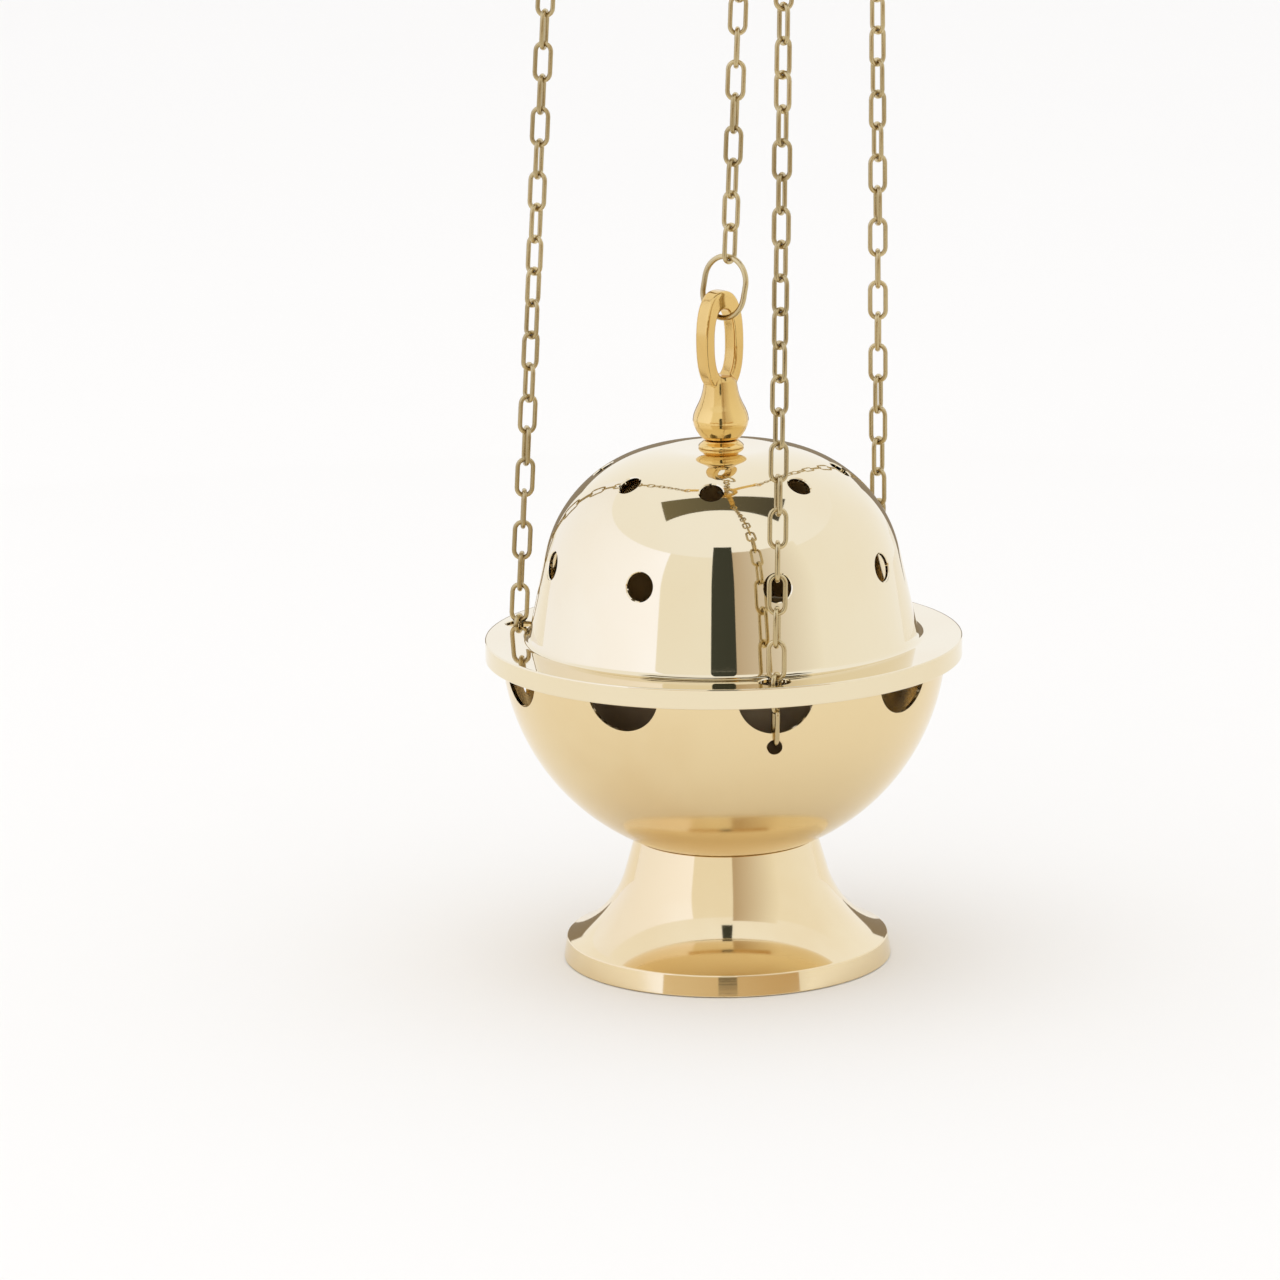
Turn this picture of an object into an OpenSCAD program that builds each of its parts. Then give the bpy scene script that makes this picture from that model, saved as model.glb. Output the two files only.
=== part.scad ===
// Hanging thurible: a spun brass bowl on a flared foot, a pierced domed lid that rides up three
// chains, a fourth chain that lifts the lid, and a three-armed spreader with a swivel and grip ring.
// Heights below are measured from the underside of the foot; stand() then puts the whole thurible
// in its own frame, whose origin is the top of the hole in the grip ring, where it hangs.

/* [Spun sheet] */
// Thickness of the spun brass sheet
sheet = 1.0; // [0.8:0.1:1.4]

/* [Foot] */
// Radius of the foot where it stands
foot_r = 44; // [42:0.5:46]
// Height of the edge band at the bottom of the foot
foot_edge = 5.6; // [5:0.2:6]
// Radius of the foot at the top of the edge band
foot_top_r = 43.1; // [42:0.1:43.5]
// Radius of the hollow curve between the band and the neck
foot_curve_r = 27; // [25:0.5:28]
// Slope of the foot's top where it meets the band
foot_slope = 22; // [20:1:24]
// Lean of the neck's side under the bowl
neck_lean = 16; // [14:0.5:18]

/* [Bowl] */
// Outside radius of the round bowl
bowl_r = 59.2; // [57:0.2:60]
// Height of the bowl's centre
bowl_z = 87; // [86:0.5:88]
// Number of half-moon air openings round the rim, a multiple of the three chains
notch_count = 9; // [6:3:12]
// Radius of each half-moon opening
notch_r = 10.3; // [8:0.1:11]
// Height of the half-moon's centre
notch_z = 84.5; // [83:0.5:86]
// Height of the three small chain holes
chain_hole_z = 70.2; // [69:0.2:71]
// Radius of the three small chain holes
chain_hole_r = 2.0; // [1.8:0.1:2.2]

/* [Coal cup] */
// Inside height of the loose coal cup
cup_h = 42; // [36:1:44]
// Radius of the cup's floor
cup_floor_r = 28; // [24:0.5:28]
// Radius of the cup's mouth
cup_mouth_r = 43; // [38:0.5:43]

/* [Lid] */
// Radius of the lid's flange
flange_r = 63.5; // [62.5:0.5:65]
// Height of the top of the flange
flange_z = 87.7; // [87.5:0.1:88]
// Depth of the turned-down skirt
skirt_h = 5.4; // [4:0.2:6]
// Height of the dome over the flange
dome_h = 50.9; // [46:0.5:56]
// Radius of the flat crown of the dome
crown_r = 11.85; // [8:0.05:14]
// Radius of the dome's round shoulder
shoulder_r = 36.1; // [32:0.1:38]
// Radius of the dome where it meets the flange
dome_r = 52; // [50:0.5:53]
// Radius of the small hollow between dome and flange
root_r = 2; // [1:0.5:2.5]
// Number of smoke holes in each of the two rows
smoke_count = 8; // [6:1:10]
// Radius of the lower smoke holes
smoke_low_r = 3.75; // [3:0.05:4.5]
// Radius of the upper smoke holes
smoke_high_r = 3.1; // [2.5:0.1:4]
// Radius of the flange holes that the chains pass through
flange_hole_r = 4.1; // [4:0.1:4.2]

/* [Finial] */
// Radius of the finial's bulb
bulb_r = 7.45; // [6.5:0.05:8]
// Thickness of the cast eye
eye_t = 5; // [4:0.5:6]
// Turn of the cast eye about the upright axis
eye_turn = 40; // [0:5:60]

/* [Chains] */
// Wire of the chain links
wire = 1.25; // [1.1:0.05:1.3]
// Outside width of a link
link_w = 5.4; // [5.2:0.1:5.5]
// Distance from one link to the next
pitch = 8.6; // [8.4:0.05:8.8]
// Number of links in each of the three bowl chains, between the bowl and the spreader
bowl_links = 22; // [18:1:40]
// Number of links in the lid chain
lid_links = 12; // [12:1:40]
// Direction of the first chain, from the front towards the right
chain_turn = 13.2; // [0:0.1:20]
// Further turn of each link beyond a right angle
link_twist = 6; // [0:1:10]

/* [Hanger] */
// Radius at which the spreader holds the chains
spread_r = 51.5; // [50:0.5:54]
// How far the held spreader stands to one side of the bowl's axis
lean = 5.6; // [0:0.1:6]
// Radius of the spreader's hub
hub_r = 13.45; // [13:0.05:14]
// Clear height inside the stirrup, over the hub
stirrup_h = 75; // [70:1:90]
// Radius of the middle of the grip ring's wire
grip_r = 20; // [16:1:24]
// Wire of the grip ring
grip_wire = 4; // [3:0.5:4]

/* [Hidden] */
$fn = 96;
eps = 0.02;
big = 200;

// finishes
pale_brass = [0.88, 0.79, 0.58];
deep_brass = [0.85, 0.66, 0.27];
dull_brass = [0.62, 0.52, 0.33];
steel = [0.72, 0.72, 0.70];

// screws and washers
screw_r = 2.5;
screw_hole_r = 2.6;
washer_r = 6;
washer_t = 1;
nut_flats = 8;
nut_h = 4;
head_r = 4.25;
head_h = 3;

// top of the foot's neck, inside the bowl's round
neck_top_z = 34.4;

// chain geometry: link_c runs between the centres of a link's two end wires
slack = 0.05;
link_c = pitch + wire + slack;
end_r = (link_w - wire) / 2;
chain_turns = [chain_turn, chain_turn + 120, chain_turn - 120];
end_links = 5;

// the end link of each bowl chain goes through the bowl's wall and leans out with it
anchor_tilt = 8;
anchor_z = chain_hole_z + chain_hole_r - wire / 2 - 2 * slack;
anchor_r = sqrt(pow(bowl_r - sheet / 2, 2) - pow(bowl_z - anchor_z, 2));
anchor_top_r = anchor_r + link_c * sin(anchor_tilt);
anchor_top_z = anchor_z + link_c * cos(anchor_tilt);

// the three bowl chains run from there to the spreader's small rings
chain_bottom_z = anchor_top_z - wire - slack;
chain_rise = bowl_links * pitch + wire + slack;
small_ring_r = 4;
small_ring_wire = 1.4;
ring_z = chain_bottom_z + chain_rise + small_ring_r - (small_ring_wire + wire) / 2 - slack;

// spreader, with its arms level with the upper part of the small rings
arm_t = 2.6;
arm_w = 6.5;
arm_z = ring_z + 2.4 - arm_t;
boss_r = 5;
boss_hole_r = 2.8;
boss_hole_at = spread_r - 3.5;
hub_z = arm_z - 1;
hub_h = 11.5;
hub_top = hub_z + hub_h;
bush_r = 7;
bush_wall = 1.2;
bush_lip = 2;

// lid outline
skirt_z = flange_z - skirt_h;
shoulder_z = flange_z + dome_h - shoulder_r;
crown_z = flange_z + dome_h;
side_reach = norm([dome_r - crown_r, flange_z - shoulder_z]);
side_lean = atan2(flange_z - shoulder_z, dome_r - crown_r) + acos(shoulder_r / side_reach);
side_end = side_lean - 4;
smoke_turn = 17.6;
seam_turn = smoke_turn - 34;
smoke_high_rise = 57;
flange_hole_at = 56.9;

// finial, collar and the eye's outline
collar_h = 2.7;
collar_r = 6.05;
groove_h = 0.4;
bulb_z = crown_z + 8.2;
neck_r = 4.4;
eye_low_z = crown_z + 18.5;
eye_high_z = crown_z + 35.4;
eye_high_r = 6.5;

// jump ring and lid chain
jump_wire = 1.5;
jump_w = 14.5;
jump_turn = -35;
jump_low_z = crown_z + 34.7;
jump_c = 16.3;
jump_shift = 2.8;
jump_lean = atan2(jump_shift, jump_c);
lid_chain_x = jump_c * sin(jump_lean);
lid_chain_z = jump_low_z + jump_c * cos(jump_lean) - (jump_wire + wire) / 2 - slack;
lid_chain_lean = 2.7;
lid_chain_rise = lid_links * pitch + wire + slack;
pull_r = 7.5;
pull_wire = 2;
lid_top_x = lid_chain_x + lid_chain_rise * sin(lid_chain_lean);
lid_top_z = lid_chain_z + lid_chain_rise * cos(lid_chain_lean);
pull_x = lid_top_x;
pull_z = lid_top_z - (wire + pull_wire) / 2 - slack + pull_r;

// stirrup, swivel and grip ring
leg_gap = 27.1;
leg_t = 3;
leg_w = 7;
leg_z = arm_z + arm_t + 1.4;
arch_r = leg_gap / 2;
arch_z = hub_top + stirrup_h - arch_r;
rivet_z = leg_z + 4;
rivet_r = 1.5;
rivet_head_r = 3;
rivet_head_h = 1.6;
rivet_in = 5;
top_boss_r = 5.5;
top_boss_z = arch_z + arch_r - 0.6;
top_boss_h = 5.6;
swivel_bore_r = 2.55;
swivel_pin_r = 2.5;
swivel_gap = 0.2;
swivel_collar_r = 4.5;
swivel_collar_h = 2.8;
swivel_collar_z = top_boss_z + top_boss_h + swivel_gap;
swivel_eye_r = 6;
swivel_eye_wire = 3.2;
swivel_eye_z = swivel_collar_z + swivel_collar_h + swivel_eye_r + 0.6;
swivel_nut_h = 3;
grip_z = swivel_eye_z + swivel_eye_r - swivel_eye_wire / 2 - grip_wire / 2 - slack + grip_r;
hang_z = grip_z + grip_r - grip_wire / 2;

// coal cup
cup_t = 0.8;
cup_z = 36.6;
cup_lip = 1.2;
cup_hole_count = 6;
cup_hole_r = 2.5;

// ---- shared shapes ----

// the whole thurible, moved so that its hanging point is the origin
module stand() {
    translate([-lean, 0, -hang_z]) children();
}

// a level ring of round wire
module wire_ring(r, d) {
    rotate_extrude() translate([r, 0]) circle(d = d);
}

// a long link in the XZ plane, from the centre of its lower end wire up to c
module long_link(c, w, d) {
    r = (w - d) / 2;
    for (s = [0, 1])
        translate([0, 0, s == 0 ? r : c - r]) rotate([s == 0 ? -90 : 90, 0, 0])
            rotate_extrude(angle = 180) translate([r, 0]) circle(d = d);
    for (x = [-r, r])
        translate([x, 0, r]) cylinder(d = d, h = c - 2 * r);
}

// count links up the Z axis, each turned a right angle and a little more from the last; the last
// few turn by end_turn as well, so that the top link stands square to the ring it hangs on
module link_run(count, start, end_turn) {
    for (i = [0 : count - 1])
        translate([0, 0, i * pitch])
            rotate([0, 0, start + i * (90 + link_twist) + max(0, i + 1 + end_links - count) * end_turn])
                long_link(link_c, link_w, wire);
}

// lift children from the Z axis onto the line from point a to point b
module along(a, b) {
    d = b - a;
    translate(a) rotate([0, atan2(norm([d.x, d.y]), d.z), atan2(d.y, d.x)]) children();
}

// a point at a radius and height in the direction of one chain
function at_turn(r, turn, z) = [r * sin(turn), -r * cos(turn), z];

// the point that one bowl chain runs up to, and how far it ends short of that point as it leans
function spread_point(turn) = at_turn(spread_r, turn, chain_bottom_z + chain_rise) + [lean, 0, 0];
function chain_short(turn) =
    norm(spread_point(turn) - at_turn(anchor_top_r, turn, chain_bottom_z)) - chain_rise;

module hex_nut(h) {
    difference() {
        cylinder(r = nut_flats / sqrt(3), h = h, $fn = 6);
        translate([0, 0, -1]) cylinder(r = screw_r, h = h + 2, $fn = 48);
    }
}

module washer(r, hole_r, t) {
    difference() {
        cylinder(r = r, h = t);
        translate([0, 0, -1]) cylinder(r = hole_r, h = t + 2);
    }
}

// ---- foot ----

// half section of the foot's outside, drawn in by d
module foot_section(d) {
    curve_x = foot_top_r + foot_curve_r * sin(foot_slope);
    curve_z = foot_edge + foot_curve_r * cos(foot_slope);
    band = (foot_r - foot_top_r) / foot_edge;
    over = foot_edge + 1;
    neck = foot_curve_r + d - slack;
    neck_at = [curve_x - neck * cos(neck_lean), curve_z - neck * sin(neck_lean)];
    difference() {
        polygon([[0, 0], [foot_r - d, 0], [foot_r - d - band * over, over], neck_at,
                 [neck_at.x - (neck_top_z - neck_at.y) * tan(neck_lean), neck_top_z], [0, neck_top_z]]);
        translate([curve_x, curve_z]) circle(r = foot_curve_r + d);
    }
}

module foot() {
    color(pale_brass) stand() difference() {
        rotate_extrude() difference() {
            union() {
                difference() {
                    foot_section(0);
                    translate([0, -1]) foot_section(sheet + 0.2);
                    translate([0, -eps]) square([foot_r - 2.4, foot_edge - sheet]);
                }
                intersection() {
                    foot_section(0);
                    translate([0, bowl_z]) circle(r = bowl_r + sheet + 0.2);
                }
            }
            translate([0, bowl_z]) circle(r = bowl_r + eps);
            translate([-big, -big / 2]) square([big, big]);
        }
        cylinder(r = screw_hole_r, h = bowl_z);
    }
}

module foot_screw() {
    under = bowl_z - bowl_r - sheet - 0.2;
    color(steel) stand() translate([0, 0, under - washer_t - head_h]) {
        cylinder(r = head_r, h = head_h);
        cylinder(r = screw_r, h = head_h + washer_t + 2.2 * sheet + washer_t + nut_h + 2);
    }
}

module foot_washers() {
    under = bowl_z - bowl_r - sheet - 0.2;
    inside = bowl_z - sqrt(pow(bowl_r - sheet, 2) - pow(washer_r, 2)) + slack;
    color(pale_brass) stand() {
        translate([0, 0, under - washer_t]) washer(washer_r, screw_r + 0.05, washer_t);
        translate([0, 0, inside]) washer(washer_r, screw_r + 0.05, washer_t);
    }
}

module foot_nut() {
    inside = bowl_z - sqrt(pow(bowl_r - sheet, 2) - pow(washer_r, 2)) + slack;
    color(steel) stand() translate([0, 0, inside + washer_t]) hex_nut(nut_h);
}

// ---- bowl and coal cup ----

module bowl() {
    rim_z = flange_z - sheet - 0.05;
    color(pale_brass) stand() difference() {
        translate([0, 0, bowl_z]) sphere(r = bowl_r);
        translate([0, 0, bowl_z]) sphere(r = bowl_r - sheet);
        translate([-big / 2, -big / 2, rim_z]) cube([big, big, big]);
        cylinder(r = screw_hole_r, h = bowl_z);
        for (i = [0 : notch_count - 1])
            rotate([0, 0, chain_turn + i * 360 / notch_count]) {
                translate([0, 0, notch_z]) rotate([90, 0, 0]) cylinder(r = notch_r, h = big / 2);
                translate([-notch_r, -big / 2, notch_z]) cube([2 * notch_r, big / 2, 10]);
            }
        for (turn = chain_turns)
            rotate([0, 0, turn]) translate([0, 0, chain_hole_z]) rotate([90, 0, 0])
                cylinder(r = chain_hole_r, h = big / 2);
    }
}

module coal_cup() {
    top_z = cup_z + cup_h;
    slope = (cup_mouth_r - cup_floor_r) / cup_h;
    color(dull_brass) stand() difference() {
        rotate_extrude()
            polygon([[0, cup_z], [cup_floor_r, cup_z], [cup_mouth_r, top_z],
                     [cup_mouth_r + cup_lip, top_z], [cup_mouth_r + cup_lip, top_z + cup_t],
                     [cup_mouth_r - cup_t, top_z + cup_t],
                     [cup_floor_r + slope * cup_t - cup_t, cup_z + cup_t], [0, cup_z + cup_t]]);
        for (i = [0 : cup_hole_count - 1])
            rotate([0, 0, i * 360 / cup_hole_count]) translate([cup_floor_r * 0.62, 0, cup_z - 1])
                cylinder(r = cup_hole_r, h = 4);
        translate([0, 0, cup_z - 1]) cylinder(r = cup_hole_r, h = 4);
    }
}

// ---- lid ----

// half section of the dome, drawn in by d: flat crown, round shoulder and leaning side
module dome_section(d) {
    foot_out = dome_r - d / cos(side_lean);
    side = [crown_r + (shoulder_r - d) * cos(side_end), shoulder_z + (shoulder_r - d) * sin(side_end)];
    square([crown_r, crown_z - d]);
    translate([crown_r, shoulder_z]) intersection() {
        circle(r = shoulder_r - d);
        square([big, big]);
    }
    polygon([[0, 0], [foot_out + flange_z * tan(side_lean), 0], side, [crown_r, shoulder_z], [0, shoulder_z]]);
}

// the small hollow where the dome runs out into the flange
module dome_root() {
    x = dome_r + root_r * (1 - sin(side_lean)) / cos(side_lean);
    difference() {
        polygon([[dome_r - sheet / 2, flange_z - eps], [x, flange_z - eps], [x, flange_z],
                 [x - root_r * cos(side_lean), flange_z + root_r * (1 - sin(side_lean))]]);
        translate([x, flange_z + root_r]) circle(r = root_r);
    }
}

// a row of smoke holes drilled square to the dome's shoulder
module smoke_row(r, rise, turn) {
    for (i = [0 : smoke_count - 1])
        rotate([0, 0, turn + i * 360 / smoke_count]) translate([0, -crown_r, shoulder_z])
            rotate([90 - rise, 0, 0]) translate([0, 0, shoulder_r - 8]) cylinder(r = r, h = 16);
}

module lid() {
    color(pale_brass) stand() difference() {
        rotate([0, 0, seam_turn]) rotate_extrude() {
            difference() {
                dome_section(0);
                dome_section(sheet);
                translate([0, -1]) square([big, flange_z - sheet + 1]);
            }
            difference() {
                translate([dome_r - 2 * sheet, flange_z - sheet]) square([flange_r - dome_r + 2 * sheet, sheet]);
                dome_section(sheet);
            }
            translate([flange_r - sheet, skirt_z]) square([sheet, skirt_h]);
            dome_root();
        }
        smoke_row(smoke_low_r, side_lean, smoke_turn);
        smoke_row(smoke_high_r, smoke_high_rise, smoke_turn + 180 / smoke_count);
        for (turn = chain_turns)
            translate(at_turn(flange_hole_at, turn, skirt_z)) cylinder(r = flange_hole_r, h = skirt_h + 1.4);
        translate([0, 0, crown_z - 5]) cylinder(r = screw_hole_r, h = 10);
    }
}

// ---- finial ----

module finial_collar() {
    color(deep_brass) stand() translate([0, 0, crown_z]) difference() {
        rotate_extrude()
            polygon([[0, 0], [collar_r - 0.4, 0], [collar_r, 0.4], [collar_r, 0.9], [collar_r - 0.7, 1.3],
                     [neck_r + 0.4, collar_h - 0.4], [neck_r + 0.4, collar_h], [0, collar_h]]);
        translate([0, 0, -1]) cylinder(r = screw_r + 0.05, h = collar_h + 2);
    }
}

// outline with a round head of radius r2 standing h over a round foot of radius r1
module pear(r1, r2, h) {
    a = asin((r2 - r1) / h);
    circle(r = r1);
    translate([0, h]) circle(r = r2);
    polygon([[-r1 * cos(a), -r1 * sin(-a)], [r1 * cos(a), -r1 * sin(-a)],
             [r2 * cos(a), h - r2 * sin(a)], [-r2 * cos(a), h - r2 * sin(a)]]);
}

module finial() {
    low_z = crown_z + collar_h;
    color(deep_brass) stand() {
        translate([0, 0, crown_z - sheet - washer_t - nut_h - 1.5])
            cylinder(r = screw_r, h = collar_h + 9);
        translate([0, 0, low_z]) cylinder(r = neck_r - 0.5, h = groove_h + 0.2);
        intersection() {
            translate([0, 0, bulb_z]) sphere(r = bulb_r);
            translate([0, 0, low_z + groove_h]) cylinder(r = big, h = big);
        }
        translate([0, 0, bulb_z + 4]) cylinder(r = neck_r, h = 6);
        rotate([0, 0, eye_turn]) translate([0, eye_t / 2, 0]) rotate([90, 0, 0]) linear_extrude(eye_t)
            difference() {
                translate([0, eye_low_z]) pear(neck_r, eye_high_r, eye_high_z - eye_low_z);
                translate([0, eye_low_z + 3.2]) pear(2.7, 3.7, 11.1);
            }
    }
}

module finial_washer() {
    color(pale_brass) stand() translate([0, 0, crown_z - sheet - washer_t])
        washer(washer_r, screw_r + 0.05, washer_t);
}

module finial_nut() {
    color(steel) stand() translate([0, 0, crown_z - sheet - washer_t - nut_h]) hex_nut(nut_h);
}

// ---- chains and rings ----

module jump_ring() {
    color(dull_brass) stand() translate([0, 0, jump_low_z]) rotate([0, jump_lean, 0])
        rotate([0, 0, jump_turn]) long_link(jump_c, jump_w, jump_wire);
}

module lid_chain() {
    color(dull_brass) stand()
        along([lid_chain_x, 0, lid_chain_z], [lid_top_x, 0, lid_top_z]) link_run(lid_links, 50, 12.8);
}

module pull_ring() {
    color(deep_brass) stand() translate([pull_x, 0, pull_z]) rotate([90, 0, 0]) wire_ring(pull_r, pull_wire);
}

// one bowl chain: the end link through the bowl's wall, then the run up to the spreader
module bowl_chain(turn, start, end_turn) {
    low = at_turn(anchor_top_r, turn, chain_bottom_z);
    high = spread_point(turn);
    color(dull_brass) stand() {
        rotate([0, 0, turn]) translate([0, -anchor_r, anchor_z]) rotate([anchor_tilt, 0, 0])
            rotate([0, 0, 90]) long_link(link_c, link_w, wire);
        along(low, high) link_run(bowl_links, start, end_turn);
    }
}

module chain_front() {
    bowl_chain(chain_turns[0], 10, -17);
}

module chain_right() {
    bowl_chain(chain_turns[1], 15, -3);
}

module chain_left() {
    bowl_chain(chain_turns[2], 80, -6.8);
}

module spreader_rings() {
    color(dull_brass) stand()
        for (turn = chain_turns)
            translate(at_turn(spread_r, turn, ring_z - chain_short(turn)) + [lean, 0, 0])
                rotate([0, 0, turn])
                    rotate([0, 90, 0]) wire_ring(small_ring_r, small_ring_wire);
}

// ---- hanger ----

module spreader() {
    color(deep_brass) stand() translate([lean, 0, 0]) difference() {
        union() {
            translate([0, 0, hub_z]) cylinder(r = hub_r, h = hub_h);
            for (turn = chain_turns)
                rotate([0, 0, turn]) translate([0, 0, arm_z]) {
                    translate([-arm_w / 2, -boss_hole_at, 0]) cube([arm_w, boss_hole_at, arm_t]);
                    translate([0, -boss_hole_at, 0]) cylinder(r = boss_r, h = arm_t);
                }
        }
        translate([0, 0, hub_z - 1]) cylinder(r = bush_r + bush_wall, h = hub_h + 2);
        for (turn = chain_turns)
            translate(at_turn(boss_hole_at, turn, arm_z - 1)) cylinder(r = boss_hole_r, h = arm_t + 2);
        for (side = [-1, 1])
            translate([0, 0, rivet_z]) rotate([side * 90, 0, 0]) translate([0, 0, hub_r - rivet_in])
                cylinder(r = rivet_r, h = rivet_in + 1);
    }
}

module guide_bush() {
    color(pale_brass) stand() translate([lean, 0, hub_z]) difference() {
        union() {
            cylinder(r = bush_r + bush_wall, h = hub_h);
            translate([0, 0, -bush_lip / 2]) cylinder(r = bush_r + bush_lip, h = bush_lip / 2);
        }
        translate([0, 0, -bush_lip]) cylinder(r = bush_r, h = hub_h + 2 * bush_lip);
    }
}

module stirrup() {
    outer = arch_r + leg_t;
    color(deep_brass) stand() translate([lean, 0, 0]) difference() {
        union() {
            translate([-leg_w / 2, 0, 0]) rotate([90, 0, 90]) linear_extrude(leg_w) {
                difference() {
                    translate([0, arch_z]) circle(r = outer);
                    translate([0, arch_z]) circle(r = arch_r);
                    translate([-big / 2, arch_z - big]) square([big, big]);
                }
                for (side = [-1, 1])
                    translate([side * (arch_r + leg_t / 2) - leg_t / 2, leg_z]) square([leg_t, arch_z - leg_z]);
            }
            translate([0, 0, top_boss_z]) cylinder(r = top_boss_r, h = top_boss_h);
        }
        translate([0, 0, top_boss_z - 1]) cylinder(r = swivel_bore_r, h = top_boss_h + 2);
        for (side = [-1, 1])
            translate([0, 0, rivet_z]) rotate([side * 90, 0, 0]) cylinder(r = rivet_r, h = outer + 1);
    }
}

module stirrup_rivets() {
    color(pale_brass) stand() translate([lean, 0, rivet_z])
        for (side = [-1, 1])
            rotate([side * 90, 0, 0]) {
                translate([0, 0, hub_r - rivet_in]) cylinder(r = rivet_r, h = leg_t + rivet_in + 0.1);
                translate([0, 0, arch_r + leg_t]) cylinder(r = rivet_head_r, h = rivet_head_h);
            }
}

module swivel_eye() {
    color(deep_brass) stand() translate([lean, 0, 0]) {
        translate([0, 0, top_boss_z - 1.2 - swivel_nut_h]) cylinder(r = swivel_pin_r, h = top_boss_h + 6);
        translate([0, 0, swivel_collar_z]) cylinder(r = swivel_collar_r, h = swivel_collar_h);
        translate([0, 0, swivel_eye_z]) rotate([0, 90, 0]) wire_ring(swivel_eye_r, swivel_eye_wire);
    }
}

module swivel_washer() {
    color(pale_brass) stand() translate([lean, 0, top_boss_z - swivel_gap - washer_t])
        washer(4.5, swivel_pin_r + 0.02, washer_t);
}

module swivel_nut() {
    color(steel) stand() translate([lean, 0, top_boss_z - 1.2 - swivel_nut_h]) difference() {
        cylinder(r = 4, h = swivel_nut_h);
        translate([0, 0, -1]) cylinder(r = swivel_pin_r, h = swivel_nut_h + 2);
    }
}

module grip_ring() {
    color(deep_brass) stand() translate([lean, 0, grip_z]) rotate([90, 0, 0]) wire_ring(grip_r, grip_wire);
}

grip_ring();
swivel_eye();
swivel_washer();
swivel_nut();
stirrup();
stirrup_rivets();
spreader();
guide_bush();
spreader_rings();
chain_front();
chain_right();
chain_left();
lid();
finial_collar();
finial();
finial_washer();
finial_nut();
jump_ring();
lid_chain();
pull_ring();
bowl();
coal_cup();
foot();
foot_screw();
foot_washers();
foot_nut();
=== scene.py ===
"""Hanging brass thurible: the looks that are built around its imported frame.

The classes hold their sizes in millimetres in the stand's frame: x to the right and y to the back from
the bowl's axis, z up from the underside of the foot. Stand.place() moves a finished bmesh from there to
its place in the frame, in metres.
"""
import logging
import math
from dataclasses import dataclass, field
from enum import Enum
from typing import Any, Iterable, Sequence

import bmesh
import bpy
from mathutils import Matrix, Vector


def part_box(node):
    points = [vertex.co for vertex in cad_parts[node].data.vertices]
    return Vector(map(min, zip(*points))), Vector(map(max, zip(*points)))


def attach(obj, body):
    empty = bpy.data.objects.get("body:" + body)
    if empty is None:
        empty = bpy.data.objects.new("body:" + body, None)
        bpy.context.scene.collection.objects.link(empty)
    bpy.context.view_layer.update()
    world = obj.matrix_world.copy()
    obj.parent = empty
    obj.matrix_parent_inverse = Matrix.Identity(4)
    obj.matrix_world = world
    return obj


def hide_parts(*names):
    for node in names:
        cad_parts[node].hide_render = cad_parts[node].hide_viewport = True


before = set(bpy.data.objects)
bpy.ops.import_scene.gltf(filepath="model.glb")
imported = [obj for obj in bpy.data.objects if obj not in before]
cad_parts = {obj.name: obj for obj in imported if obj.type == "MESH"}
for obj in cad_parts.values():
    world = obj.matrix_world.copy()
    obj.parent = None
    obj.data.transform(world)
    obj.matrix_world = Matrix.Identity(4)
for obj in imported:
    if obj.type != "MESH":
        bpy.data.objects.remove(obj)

MM = 0.001
SPIN_STEPS = 288
FINE_STEPS = 96
Colour = tuple[float, float, float]
log = logging.getLogger("thurible")


# ---- the frame that sizes are given in ----


@dataclass(frozen=True)
class Stand:
    """Where the thurible stands in the frame, in metres."""

    bowl_x: float
    hang_x: float
    base_z: float

    @classmethod
    def measured(cls) -> "Stand":
        """Reads the place of the bowl's axis, the hanger's axis and the floor from the frame."""
        foot_low, foot_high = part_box("foot")
        ring_low, ring_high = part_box("grip_ring")
        return cls((foot_low.x + foot_high.x) / 2, (ring_low.x + ring_high.x) / 2, foot_low.z)

    @property
    def lean(self) -> float:
        """How far the hanger's axis stands to the right of the bowl's axis, in millimetres."""
        return (self.hang_x - self.bowl_x) / MM

    def point(self, x: float, y: float, z: float) -> Vector:
        """The place in the frame, in metres, of a point given in millimetres over the foot."""
        return Vector((self.bowl_x + x * MM, y * MM, self.base_z + z * MM))

    def place(self, bm: bmesh.types.BMesh) -> None:
        """Moves a bmesh made in millimetres over the foot to its place in the frame."""
        bmesh.ops.scale(bm, vec=(MM, MM, MM), verts=bm.verts)
        bmesh.ops.translate(bm, vec=self.point(0, 0, 0), verts=bm.verts)


# ---- shaping ----


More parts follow.
